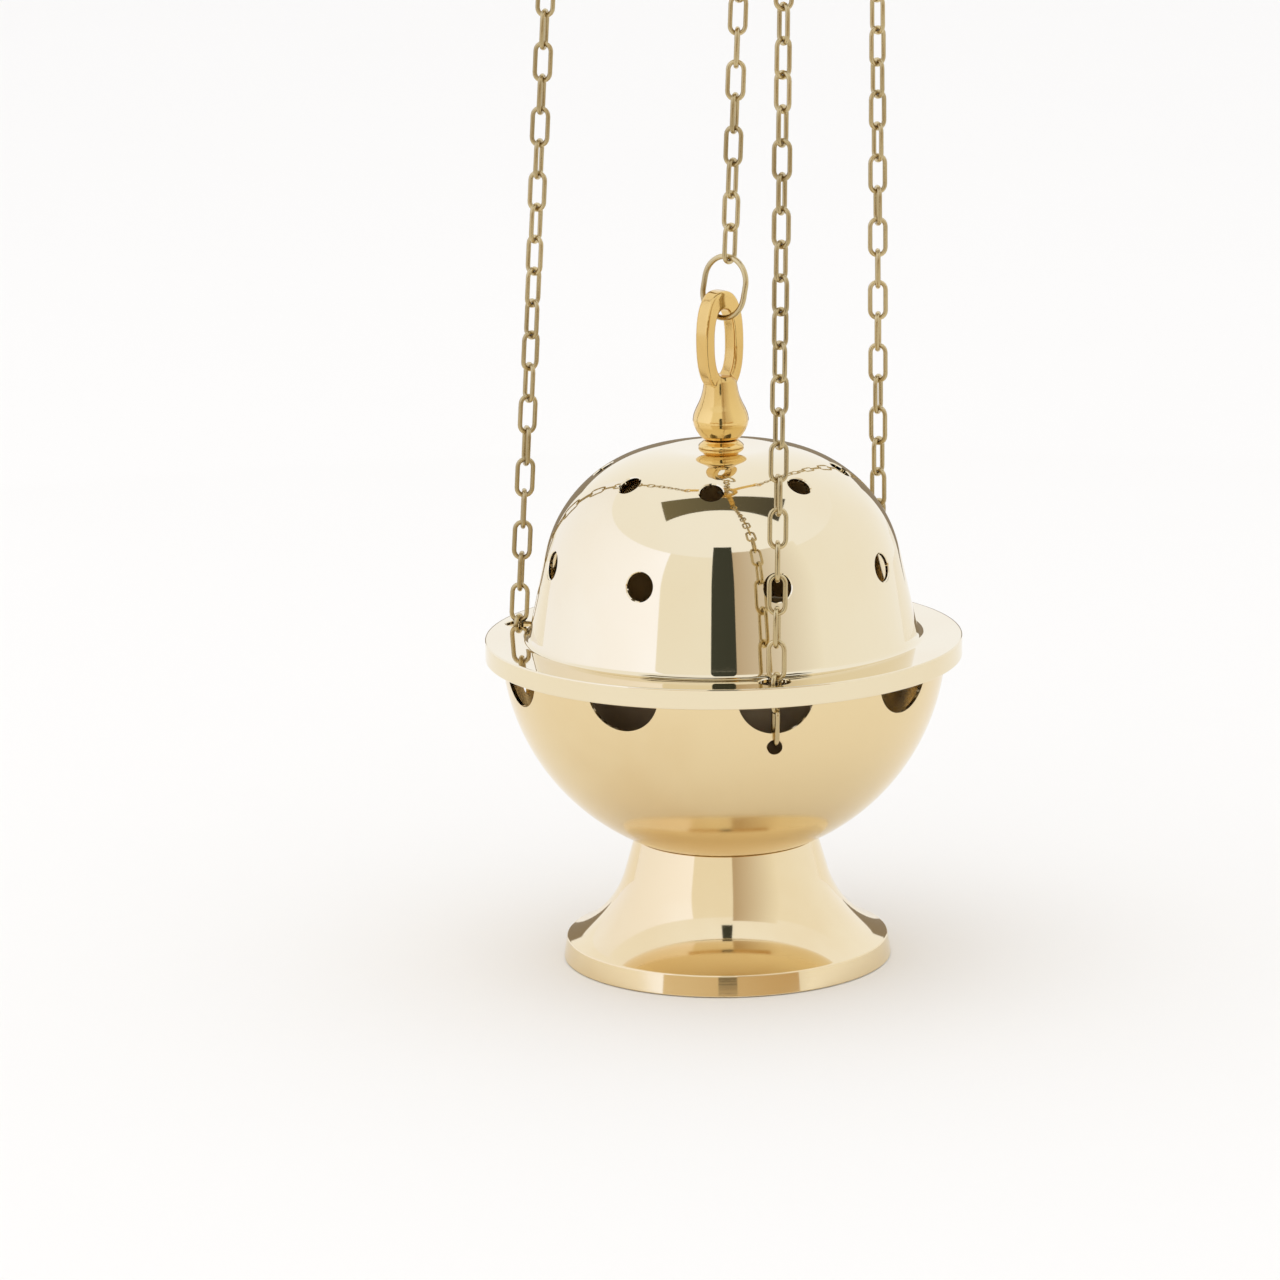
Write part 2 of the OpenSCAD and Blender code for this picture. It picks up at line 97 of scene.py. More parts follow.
class Outline:
    """A half section drawn edge by edge in the plane of the axis, then spun to a solid."""

    def __init__(self, r: float, z: float) -> None:
        """Starts the section at radius r and height z."""
        self.bm = bmesh.new()
        self.first = self.bm.verts.new((r, 0.0, z))
        self.tip = self.first

    def line(self, r: float, z: float, hold: float = 0.0) -> "Outline":
        """Draws a straight line.

        Args:
            r: radius of its end.
            z: height of its end.
            hold: distance from both ends of two more points, which keep a long face's shading flat.

        Returns:
            The outline, so that calls can follow each other.
        """
        start, end = self.tip.co.copy(), Vector((r, 0.0, z))
        length = (end - start).length
        stops = [end]
        if hold and length > 3 * hold:
            step = (end - start) * (hold / length)
            stops = [start + step, end - step, end]
        for stop in stops:
            self.tip = bmesh.ops.extrude_vert_indiv(self.bm, verts=[self.tip])["verts"][0]
            self.tip.co = stop
        return self

    def arc(self, r: float, z: float, degrees: float, steps: int) -> "Outline":
        """Draws an arc round the point (r, z), clockwise where degrees is positive."""
        made = bmesh.ops.spin(
            self.bm, geom=[self.tip], cent=(r, 0.0, z), axis=(0, 1, 0), dvec=(0, 0, 0),
            angle=math.radians(degrees), steps=steps, use_merge=False, use_duplicate=False,
        )
        self.tip = next(v for v in made["geom_last"] if isinstance(v, bmesh.types.BMVert))
        return self

    def spun(self, steps: int, closed: bool = True) -> bmesh.types.BMesh:
        """Spins the section round the axis.

        Args:
            steps: faces round the axis.
            closed: True where the section's ends still have to be joined off the axis.

        Returns:
            The closed solid.
        """
        if closed:
            self.bm.edges.new((self.tip, self.first))
        bmesh.ops.spin(
            self.bm, geom=self.bm.verts[:] + self.bm.edges[:], cent=(0, 0, 0), axis=(0, 0, 1),
            dvec=(0, 0, 0), angle=2 * math.pi, steps=steps, use_merge=True, use_duplicate=False,
        )
        bmesh.ops.remove_doubles(self.bm, verts=self.bm.verts, dist=1e-4)
        bmesh.ops.recalc_face_normals(self.bm, faces=self.bm.faces)
        return self.bm


def soften(bm: bmesh.types.BMesh, width: float, segments: int = 2, degrees: float = 35.0) -> None:
    """Rounds every edge that is sharper than an angle."""
    limit = math.radians(degrees)
    edges = [e for e in bm.edges if len(e.link_faces) == 2 and e.calc_face_angle() > limit]
    bmesh.ops.bevel(
        bm, geom=edges, offset=width, offset_type="OFFSET", segments=segments, profile=0.5,
        affect="EDGES", material=-1, clamp_overlap=True,
    )


def moved(bm: bmesh.types.BMesh, matrix: Matrix) -> bmesh.types.BMesh:
    """Moves all of a bmesh and gives it back."""
    bmesh.ops.transform(bm, matrix=matrix, verts=bm.verts)
    return bm


def joined(parts: Iterable[bmesh.types.BMesh]) -> bmesh.types.BMesh:
    """Puts several bmeshes in one, and frees them."""
    whole = bmesh.new()
    for part in parts:
        shell = bpy.data.meshes.new("part")
        part.to_mesh(shell)
        part.free()
        whole.from_mesh(shell)
        bpy.data.meshes.remove(shell)
    return whole


def repeated(part: bmesh.types.BMesh, places: Sequence[Matrix]) -> bmesh.types.BMesh:
    """Copies a bmesh to each of several places, and frees it."""
    shell = bpy.data.meshes.new("part")
    part.to_mesh(shell)
    part.free()
    whole = bmesh.new()
    for matrix in places:
        known = len(whole.verts)
        whole.from_mesh(shell)
        whole.verts.ensure_lookup_table()
        bmesh.ops.transform(whole, matrix=matrix, verts=whole.verts[known:])
    bpy.data.meshes.remove(shell)
    return whole


def turned(degrees: float) -> Matrix:
    """A turn about the upright axis."""
    return Matrix.Rotation(math.radians(degrees), 4, "Z")


def shifted(x: float, y: float, z: float) -> Matrix:
    """A move in millimetres."""
    return Matrix.Translation((x, y, z))


def tipped(degrees: float, axis: str = "X") -> Matrix:
    """A turn about a level axis."""
    return Matrix.Rotation(math.radians(degrees), 4, axis)


def along(low: Vector, high: Vector) -> Matrix:
    """The matrix that lifts a run on the Z axis onto the line from one point to another."""
    run = high - low
    lean = math.atan2(math.hypot(run.x, run.y), run.z)
    way = Matrix.Rotation(math.atan2(run.y, run.x), 4, "Z")
    return Matrix.Translation(low) @ way @ Matrix.Rotation(lean, 4, "Y")


def rod(radius: float, low: float, high: float, steps: int = 48) -> bmesh.types.BMesh:
    """An upright round bar."""
    return Outline(0, low).line(radius, low).line(radius, high).line(0, high).spun(steps, closed=False)


def drill(
    radius: float, low: float, high: float, lip: float, flare: float, steps: int = 64
) -> bmesh.types.BMesh:
    """A drill for a round hole with a broken edge.

    Args:
        radius: radius of the hole.
        low: where the drill starts on its axis.
        high: where it ends.
        lip: height at which it starts to widen.
        flare: how much it widens.
        steps: faces round it.

    Returns:
        The drill's solid on the Z axis.
    """
    shape = Outline(0, low).line(radius, low).line(radius, lip).line(radius + flare, lip + flare)
    return shape.line(radius + flare, high).line(0, high).spun(steps, closed=False)


def wire_ring(radius: float, wire: float, steps: int = 64, sides: int = 20) -> bmesh.types.BMesh:
    """A level ring of round wire."""
    bm = bmesh.new()
    made = bmesh.ops.create_circle(bm, radius=wire / 2, segments=sides)["verts"]
    bmesh.ops.rotate(bm, cent=(0, 0, 0), matrix=Matrix.Rotation(math.pi / 2, 3, "X"), verts=made)
    bmesh.ops.translate(bm, vec=(radius, 0, 0), verts=made)
    bmesh.ops.spin(
        bm, geom=bm.verts[:] + bm.edges[:], cent=(0, 0, 0), axis=(0, 0, 1), dvec=(0, 0, 0),
        angle=2 * math.pi, steps=steps, use_merge=True, use_duplicate=False,
    )
    bmesh.ops.remove_doubles(bm, verts=bm.verts, dist=1e-5)
    bmesh.ops.recalc_face_normals(bm, faces=bm.faces)
    return bm


def long_link(
    length: float, width: float, wire: float, steps: int = 10, sides: int = 12
) -> bmesh.types.BMesh:
    """A long wire link in the XZ plane.

    Args:
        length: distance between the centres of its two end wires.
        width: outside width.
        wire: wire diameter.
        steps: faces along each bend.
        sides: faces round the wire.

    Returns:
        The link, standing on the centre of its lower end wire.
    """
    bend = (width - wire) / 2
    leg = length - 2 * bend
    bm = bmesh.new()
    ring = bmesh.ops.create_circle(bm, radius=wire / 2, segments=sides)["verts"]
    bmesh.ops.translate(bm, vec=(bend, 0, length - bend), verts=ring)
    last: list[Any] = bm.verts[:] + bm.edges[:]
    for centre, down in ((length - bend, -leg), (bend, leg)):
        last = bmesh.ops.spin(
            bm, geom=last, cent=(0, 0, centre), axis=(0, 1, 0), dvec=(0, 0, 0), angle=-math.pi,
            steps=steps, use_merge=False, use_duplicate=False,
        )["geom_last"]
        edges = [e for e in last if isinstance(e, bmesh.types.BMEdge)]
        last = bmesh.ops.extrude_edge_only(bm, edges=edges)["geom"]
        verts = [v for v in last if isinstance(v, bmesh.types.BMVert)]
        bmesh.ops.translate(bm, vec=(0, 0, down), verts=verts)
        edges = [e for e in last if isinstance(e, bmesh.types.BMEdge)]
        last = verts + [e for e in edges if e.verts[0] in verts and e.verts[1] in verts]
    bmesh.ops.remove_doubles(bm, verts=bm.verts, dist=1e-3)
    bmesh.ops.recalc_face_normals(bm, faces=bm.faces)
    return bm


# ---- finishes ----


class Graph:
    """The node tree of one material, with one method that makes any node."""

    def __init__(self, name: str) -> None:
        """Makes an empty material."""
        self.material = bpy.data.materials.new(name)
        self.material.use_nodes = True
        self.tree = self.material.node_tree
        self.tree.nodes.clear()

    def node(
        self, kind: str, settings: dict[str, Any] | None = None, inputs: dict[Any, Any] | None = None
    ) -> bpy.types.Node:
        """Makes a node.

        Args:
            kind: the node's type, without the ShaderNode prefix.
            settings: its properties; "stops" gives a colour ramp's positions and values.
            inputs: values or links of its sockets, by name or index.

        Returns:
            The node.
        """
        made = self.tree.nodes.new("ShaderNode" + kind)
        for key, value in (settings or {}).items():
            if key == "stops":
                ramp = made.color_ramp
                while len(ramp.elements) < len(value):
                    ramp.elements.new(0.5)
                for element, (at, level) in zip(ramp.elements, value):
                    element.position = at
                    element.color = (level, level, level, 1.0)
            else:
                setattr(made, key, value)
        for key, value in (inputs or {}).items():
            if isinstance(value, Level):
                value = value.socket
            if isinstance(value, bpy.types.NodeSocket):
                self.tree.links.new(value, made.inputs[key])
            else:
                made.inputs[key].default_value = value
        return made

    def level(self, node: bpy.types.Node, output: Any = 0) -> "Level":
        """Wraps a node's number output."""
        return Level(self, node.outputs[output])

    def noise(
        self, place: Any, scale: float, detail: float = 3.0, stretch: Colour = (1.0, 1.0, 1.0)
    ) -> "Level":
        """Noise from 0 to 1 on a place, with its own stretch along each axis."""
        mapped = self.node("Mapping", {}, {"Vector": place, "Scale": stretch})
        made = self.node("TexNoise", {}, {"Vector": mapped.outputs[0], "Scale": scale, "Detail": detail})
        return self.level(made, "Fac")

    def ramp(self, value: "Level", low: float, high: float) -> "Level":
        """Spreads the part of a value between two levels over 0 to 1."""
        settings = {"interpolation_type": "SMOOTHSTEP"}
        inputs = {"Value": value, "From Min": low, "From Max": high}
        return self.level(self.node("MapRange", settings, inputs))

    def blend(self, factor: Any, first: Any, second: Any) -> bpy.types.NodeSocket:
        """Mixes two colours, each a colour or a socket."""
        first, second = (c if isinstance(c, bpy.types.NodeSocket) else (*c, 1.0) for c in (first, second))
        mix = self.node("Mix", {"data_type": "RGBA"}, {0: factor, 6: first, 7: second})
        return mix.outputs[2]


class Level:
    """A number socket that shader maths is written with."""

    def __init__(self, graph: Graph, socket: bpy.types.NodeSocket) -> None:
        """Keeps the socket and the tree it is in."""
        self.graph = graph
        self.socket = socket

    def _math(self, operation: str, first: Any, second: Any) -> "Level":
        """Adds one Math node."""
        made = self.graph.node("Math", {"operation": operation}, {0: first, 1: second})
        return Level(self.graph, made.outputs[0])

    def __add__(self, other: Any) -> "Level":
        """The sum."""
        return self._math("ADD", self, other)

    __radd__ = __add__

    def __sub__(self, other: Any) -> "Level":
        """The difference."""
        return self._math("SUBTRACT", self, other)

    def __rsub__(self, other: Any) -> "Level":
        """The difference, from a plain number."""
        return self._math("SUBTRACT", other, self)

    def __mul__(self, other: Any) -> "Level":
        """The product."""
        return self._math("MULTIPLY", self, other)

    __rmul__ = __mul__


@dataclass(frozen=True)
class Metal:
    """A metal finish: its clean and its toned colour, its gloss and the marks of how it was made."""

    name: str
    clean: Colour
    toned: Colour
    roughness: float
    haze: float
    toning: float
    turned_lines: float
    waviness: float
    worn: float = 0.0
    metallic: float = 1.0

    def material(self) -> bpy.types.Material:
        """Builds the finish's material."""
        graph = Graph(self.name)
        place = graph.node("TexCoord").outputs["Object"]
        patches = graph.ramp(graph.noise(place, 22.0, 4.0), 0.42, 0.68)
        specks = graph.ramp(graph.noise(place, 900.0, 2.0), 0.68, 0.76)
        smears = graph.noise(place, 55.0, 5.0, (1.0, 1.0, 0.45))
        lines = graph.noise(place, 1.0, 2.0, (14.0, 14.0, 2300.0))
        swells = graph.noise(place, 34.0, 1.0)
        tone = patches * self.toning + specks * 0.12
        if self.worn:
            rubbed = graph.level(graph.node("Attribute", {"attribute_name": "rubbed"}), "Fac")
            tone = tone + (1 - rubbed) * self.worn
        colour = graph.blend(tone, self.clean, self.toned)
        rough = (smears - 0.5) * self.haze + patches * (self.haze * 0.4) + self.roughness
        height = lines * self.turned_lines + swells * self.waviness
        bump = graph.node("Bump", {}, {"Strength": 1.0, "Distance": 1.0, "Height": height * MM})
        inputs = {"Base Color": colour, "Metallic": self.metallic, "Roughness": rough}
        inputs["Normal"] = bump.outputs[0]
        shader = graph.node("BsdfPrincipled", {}, inputs)
        graph.node("OutputMaterial", {}, {"Surface": shader.outputs[0]})
        return graph.material


class Finish(Enum):
    """The finishes on the thurible."""

    DOME = Metal(
        "polished pale brass", (0.83, 0.725, 0.51), (0.80, 0.66, 0.42), 0.04, 0.03, 0.35, 0.0004, 0.012
    )
    BOWL = Metal("spun pale brass", (0.81, 0.65, 0.38), (0.74, 0.55, 0.29), 0.15, 0.05, 0.50, 0.0060, 0.010)
    FOOT = Metal("spun gold brass", (0.83, 0.69, 0.44), (0.76, 0.57, 0.30), 0.06, 0.04, 0.45, 0.0010, 0.010)
    CAST = Metal("cast gold brass", (0.80, 0.56, 0.21), (0.60, 0.37, 0.11), 0.12, 0.08, 0.60, 0.0, 0.050)
    WIRE = Metal(
        "aged brass wire", (0.66, 0.53, 0.29), (0.26, 0.185, 0.08), 0.22, 0.14, 0.35, 0.0, 0.02, 0.40
    )
    CUP = Metal(
        "heat-darkened brass", (0.74, 0.60, 0.38), (0.50, 0.36, 0.21), 0.45, 0.20, 0.80, 0.0030, 0.03, 0.0,
        0.25,
    )
    STEEL = Metal("zinc plated steel", (0.72, 0.72, 0.70), (0.55, 0.55, 0.52), 0.28, 0.15, 0.40, 0.0, 0.02)


class Slot(Enum):
    """The record's material slots."""

    PALE = "pale_brass"
    DEEP = "deep_brass"
    DULL = "dull_brass"
    CUP = "cup_brass"
    STEEL = "steel"


class Shop:
    """Turns shapes into finished pieces on the frame's bodies."""

    def __init__(self, stand: Stand) -> None:
        """Makes the material of every finish."""
        self.stand = stand
        self.materials = {finish: finish.value.material() for finish in Finish}

    def blank(self, name: str, bm: bmesh.types.BMesh) -> bpy.types.Object:
        """Makes an object of a bmesh, and frees it."""
        mesh = bpy.data.meshes.new(name)
        bm.to_mesh(mesh)
        bm.free()
        made = bpy.data.objects.new(name, mesh)
        bpy.context.scene.collection.objects.link(made)
        return made

    def settle(self, piece: bpy.types.Object) -> None:
        """Applies a piece's modifiers to its mesh."""
        bpy.context.view_layer.update()
        graph = bpy.context.evaluated_depsgraph_get()
        mesh = bpy.data.meshes.new_from_object(piece.evaluated_get(graph), depsgraph=graph)
        old = piece.data
        piece.modifiers.clear()
        piece.data = mesh
        bpy.data.meshes.remove(old)

    def combine(
        self, piece: bpy.types.Object, tool: bmesh.types.BMesh, operation: str = "DIFFERENCE"
    ) -> None:
        """Cuts a shape out of a piece, or adds one to it, exactly."""
        other = self.blank("tool", tool)
        step = piece.modifiers.new("combine", "BOOLEAN")
        step.operation = operation
        step.solver = "EXACT"
        step.object = other
        self.settle(piece)
        bpy.data.meshes.remove(other.data)

    def cast(
        self, name: str, parts: Sequence[bmesh.types.BMesh], grain: float, passes: int
    ) -> bpy.types.Object:
        """Melts several solids into one cast shape.

        Args:
            name: the piece's name.
            parts: the solids, which overlap.
            grain: size of the faces, in millimetres.
            passes: how often the surface is smoothed.

        Returns:
            The cast piece, still in millimetres.
        """
        piece = self.blank(name, joined(parts))
        melt = piece.modifiers.new("melt", "REMESH")
        melt.mode = "VOXEL"
        melt.voxel_size = grain
        ease = piece.modifiers.new("ease", "SMOOTH")
        ease.iterations = passes
        self.settle(piece)
        return piece

    def rounded(self, piece: bpy.types.Object, width: float, segments: int = 3) -> None:
        """Rounds a piece's sharp edges with a bevel."""
        edge = piece.modifiers.new("edge", "BEVEL")
        edge.width = width
        edge.segments = segments
        edge.limit_method = "ANGLE"
        edge.angle_limit = math.radians(35)
        edge.use_clamp_overlap = True
        self.settle(piece)

    def deliver(
        self, piece: bpy.types.Object, body: str, node: str, finish: Finish, sharp: float = 32.0
    ) -> bpy.types.Object:
        """Places, shades and dresses a piece, and hands it to the frame.

        Args:
            piece: the shape, in millimetres over the foot.
            body: the CAD body that it moves with.
            node: the CAD node that it stands for.
            finish: its finish.
            sharp: angle over which an edge is shaded sharp.

        Returns:
            The finished piece.
        """
        bm = bmesh.new()
        bm.from_mesh(piece.data)
        self.stand.place(bm)
        bm.to_mesh(piece.data)
        bm.free()
        piece.data.shade_smooth()
        piece.data.set_sharp_from_angle(angle=math.radians(sharp))
        piece.data.materials.clear()
        piece.data.materials.append(self.materials[finish])
        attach(piece, body)
        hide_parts(node)
        faces = len(piece.data.polygons)
        log.info("%s: %d faces, rides on %s, stands for %s", piece.name, faces, body, node)
        return piece


# ---- spun sheet brass ----


@dataclass(frozen=True)
class Foot:
    """The flared foot with its edge band; its screw, washers and nut are made with the fixings."""

    radius: float = 44.0
    wall: float = 2.4
    curve: Vector = field(default_factory=lambda: Vector((53.21, 30.63)))
    curve_radius: float = 27.0
    slope: float = 22.0
    neck_lean: float = 16.0
    sheet: float = 1.2
    bowl_z: float = 87.0
    seat_radius: float = 59.23
    neck_top: Vector = field(default_factory=lambda: Vector((24.43, 33.055)))
    neck_inside: Vector = field(default_factory=lambda: Vector((23.39, 31.31)))
    bore: float = 2.6

    def shell(self) -> bmesh.types.BMesh:
        """The spun foot: seat under the bowl, neck, hollow curve, band and inside."""
        seat_low = self.bowl_z - math.sqrt(self.seat_radius**2 - self.bore**2)
        seat = Outline(self.bore, seat_low)
        start = math.degrees(math.asin(self.bore / self.seat_radius))
        end = math.degrees(math.asin(self.neck_top.x / self.seat_radius))
        swing = 90 - self.slope - self.neck_lean
        lean, reach = math.radians(self.neck_lean), self.curve_radius
        neck = (self.curve.x - reach * math.cos(lean), self.curve.y - reach * math.sin(lean))
        seat.arc(0, self.bowl_z, start - end, 12)
        seat.line(*neck, hold=0.3).arc(*self.curve, -swing, 44)
        seat.line(self.radius, 0, hold=0.3).line(self.radius - self.wall, 0)
        under = reach + self.sheet
        inner_x = self.radius - self.wall
        inner_z = self.curve.y - 1 - math.sqrt(under**2 - (self.curve.x - inner_x) ** 2)
        sweep = math.degrees(math.acos((self.curve.x - inner_x) / under)) - self.neck_lean
        seat.line(inner_x, inner_z).arc(self.curve.x, self.curve.y - 1, sweep, 24)
        seat.line(*self.neck_inside)
        pad = self.seat_radius + self.sheet - 0.03
        inside = math.asin(self.neck_inside.x / pad) - math.asin(self.bore / pad)
        seat.arc(0, self.bowl_z, math.degrees(inside), 12)
        bm = seat.spun(SPIN_STEPS)
        soften(bm, 0.28, 3)
        return bm

    def build(self, shop: Shop) -> None:
        """Makes the foot."""
        shop.deliver(shop.blank("foot_shell", self.shell()), "hanger", "foot", Finish.FOOT)


@dataclass(frozen=True)
class Bowl:
    """The round bowl with its half-moon air openings and chain holes."""

    radius: float = 59.2
    centre_z: float = 87.0
    rim_z: float = 86.65
    sheet: float = 1.0
    bore: float = 2.6
    moons: int = 9
    moon_radius: float = 10.3
    moon_z: float = 84.5
    turn: float = 13.2
    hole_radius: float = 2.0
    hole_z: float = 70.2

    def shell(self) -> bmesh.types.BMesh:
        """The spun bowl before it is pierced."""
        low = math.degrees(math.asin(self.bore / self.radius))
        high = 90 - math.degrees(math.asin((self.centre_z - self.rim_z) / self.radius))
        inner = self.radius - self.sheet
        side = Outline(self.bore, self.centre_z - self.radius * math.cos(math.radians(low)))
        side.arc(0, self.centre_z, low - high, 110)
        side.arc(self.radius - self.sheet / 2, self.rim_z, -180, 6)
        side.line(inner, self.rim_z - 0.02)
        side.arc(0, self.centre_z, high - math.degrees(math.asin(self.bore / inner)), 60)
        return side.spun(SPIN_STEPS)

    def cutters(self) -> bmesh.types.BMesh:
        """The tools that pierce the half-moons and the chain holes."""
        tools = []
        for index in range(self.moons):
            face = turned(self.turn + index * 360 / self.moons)
            moon = bmesh.new()
            made = bmesh.ops.create_circle(moon, cap_ends=True, radius=self.moon_radius, segments=128)
            ring = made["verts"]
            bmesh.ops.rotate(moon, cent=(0, 0, 0), matrix=Matrix.Rotation(math.pi / 2, 3, "X"), verts=ring)
            for vert in ring:
                if vert.co.z > 0:
                    vert.co = (math.copysign(self.moon_radius, vert.co.x), 0, vert.co.z)
            bmesh.ops.remove_doubles(moon, verts=moon.verts, dist=1e-4)
            front = bmesh.ops.extrude_face_region(moon, geom=moon.faces[:])["geom"]
            verts = [v for v in front if isinstance(v, bmesh.types.BMVert)]
            bmesh.ops.translate(moon, vec=(0, -24, 0), verts=verts)
            bmesh.ops.recalc_face_normals(moon, faces=moon.faces)
            tools.append(moved(moon, face @ shifted(0, -44, self.moon_z)))
        for index in range(3):
            out = turned(self.turn + index * 120) @ shifted(0, -50, self.hole_z) @ tipped(90)
            tools.append(moved(drill(self.hole_radius, 0, 14, 6.5, 0.35, 40), out))
        return joined(tools)

    def build(self, shop: Shop) -> None:
        """Makes the bowl."""
        piece = shop.blank("bowl_shell", self.shell())
        shop.combine(piece, self.cutters())
        shop.deliver(piece, "hanger", "bowl", Finish.BOWL)


@dataclass(frozen=True)
class CoalCup:
    """The loose cup that holds the lit charcoal."""

    low: float = 36.6
    high: float = 78.6
    floor_radius: float = 28.0
    mouth_radius: float = 43.0
    lip: float = 1.2
    sheet: float = 0.8
    holes: int = 6
    hole_radius: float = 2.5

    def build(self, shop: Shop) -> None:
        """Makes the cup and drills its floor."""
        slope = (self.mouth_radius - self.floor_radius) / (self.high - self.low)
        side = Outline(0, self.low).line(self.floor_radius, self.low).line(self.mouth_radius, self.high)
        side.line(self.mouth_radius + self.lip, self.high)
        side.line(self.mouth_radius + self.lip, self.high + self.sheet)
        side.line(self.mouth_radius - self.sheet, self.high + self.sheet)
        side.line(self.floor_radius + slope * self.sheet - self.sheet, self.low + self.sheet)
        bm = side.line(0, self.low + self.sheet).spun(FINE_STEPS * 2, closed=False)
        soften(bm, 0.3, 3, 25)
        piece = shop.blank("cup_shell", bm)
        at = self.floor_radius * 0.62
        places = [turned(i * 360 / self.holes) @ shifted(at, 0, self.low) for i in range(self.holes)]
        tool = drill(self.hole_radius, -2, 4, self.sheet - 0.15, 0.3, 40)
        shop.combine(piece, repeated(tool, places + [shifted(0, 0, self.low)]))
        shop.deliver(piece, "cup", "coal_cup", Finish.CUP)


@dataclass(frozen=True)
class Lid:
    """The domed lid: crown, shoulder, side, flange and skirt in one spun sheet."""

    flange_radius: float = 63.5
    flange_z: float = 87.7
    skirt_z: float = 82.3
    sheet: float = 1.0
    crown_z: float = 138.6
    crown_radius: float = 11.85
    shoulder_radius: float = 36.1
    side_lean: float = 12.239
    dome_radius: float = 52.0
    root: float = 2.0
    holes: int = 8
    low_hole: float = 3.75
    low_turn: float = 17.6
    high_hole: float = 3.1
    high_rise: float = 57.0
    chain_hole: float = 4.1
    chain_at: float = 56.9
    chain_turn: float = 13.2
    bore: float = 2.6

    def shell(self) -> bmesh.types.BMesh:
        """The spun lid before it is pierced."""
        lean = math.radians(self.side_lean)
        centre = (self.crown_radius, self.crown_z - self.shoulder_radius)
        sweep = 90 - self.side_lean
        root_x = self.dome_radius + self.root * (1 - math.sin(lean)) / math.cos(lean)
        side = Outline(self.bore, self.crown_z).line(self.crown_radius, self.crown_z, hold=0.3)
        side.arc(*centre, sweep, 64)
        root_low = self.flange_z + self.root * (1 - math.sin(lean))
        side.line(root_x - self.root * math.cos(lean), root_low, hold=0.3)
        side.arc(root_x, self.flange_z + self.root, -sweep, 10)
        side.line(self.flange_radius, self.flange_z, hold=0.5)
        side.line(self.flange_radius, self.skirt_z, hold=0.5)
        side.line(self.flange_radius - self.sheet, self.skirt_z)
        under = self.flange_z - self.sheet
        side.line(self.flange_radius - self.sheet, under)
        side.line(self.dome_radius - self.sheet / math.cos(lean) + self.sheet * math.tan(lean), under)
        inner = self.shoulder_radius - self.sheet
        side.line(centre[0] + inner * math.cos(lean), centre[1] + inner * math.sin(lean), hold=0.3)
        side.arc(*centre, -sweep, 36)
        side.line(self.bore, self.crown_z - self.sheet)
        bm = side.spun(SPIN_STEPS)
        soften(bm, 0.3, 3)
        return bm

    def cutters(self) -> bmesh.types.BMesh:
        """The tools that pierce the smoke holes and the flange's chain holes."""
        tools = []
        rows = (
            (self.low_hole, self.side_lean, self.low_turn),
            (self.high_hole, self.high_rise, self.low_turn + 180 / self.holes),
        )
        for radius, rise, start in rows:
            aim = shifted(0, -self.crown_radius, self.crown_z - self.shoulder_radius) @ tipped(90 - rise)
            places = [turned(start + i * 360 / self.holes) @ aim for i in range(self.holes)]
            reach = self.shoulder_radius
            tools.append(repeated(drill(radius, reach - 8, reach + 8, reach - 0.42, 0.3), places))
        places = [turned(self.chain_turn + i * 120) @ shifted(0, -self.chain_at, 0) for i in range(3)]
        tool = drill(self.chain_hole, self.skirt_z - 1, self.flange_z + 1.6, self.flange_z - 0.25, 0.3)
        tools.append(repeated(tool, places))
        return joined(tools)

    def build(self, shop: Shop) -> None:
        """Makes the lid."""
        piece = shop.blank("lid_shell", self.shell())
        shop.combine(piece, self.cutters())
        shop.deliver(piece, "lid", "lid", Finish.DOME)


# ---- finial ----


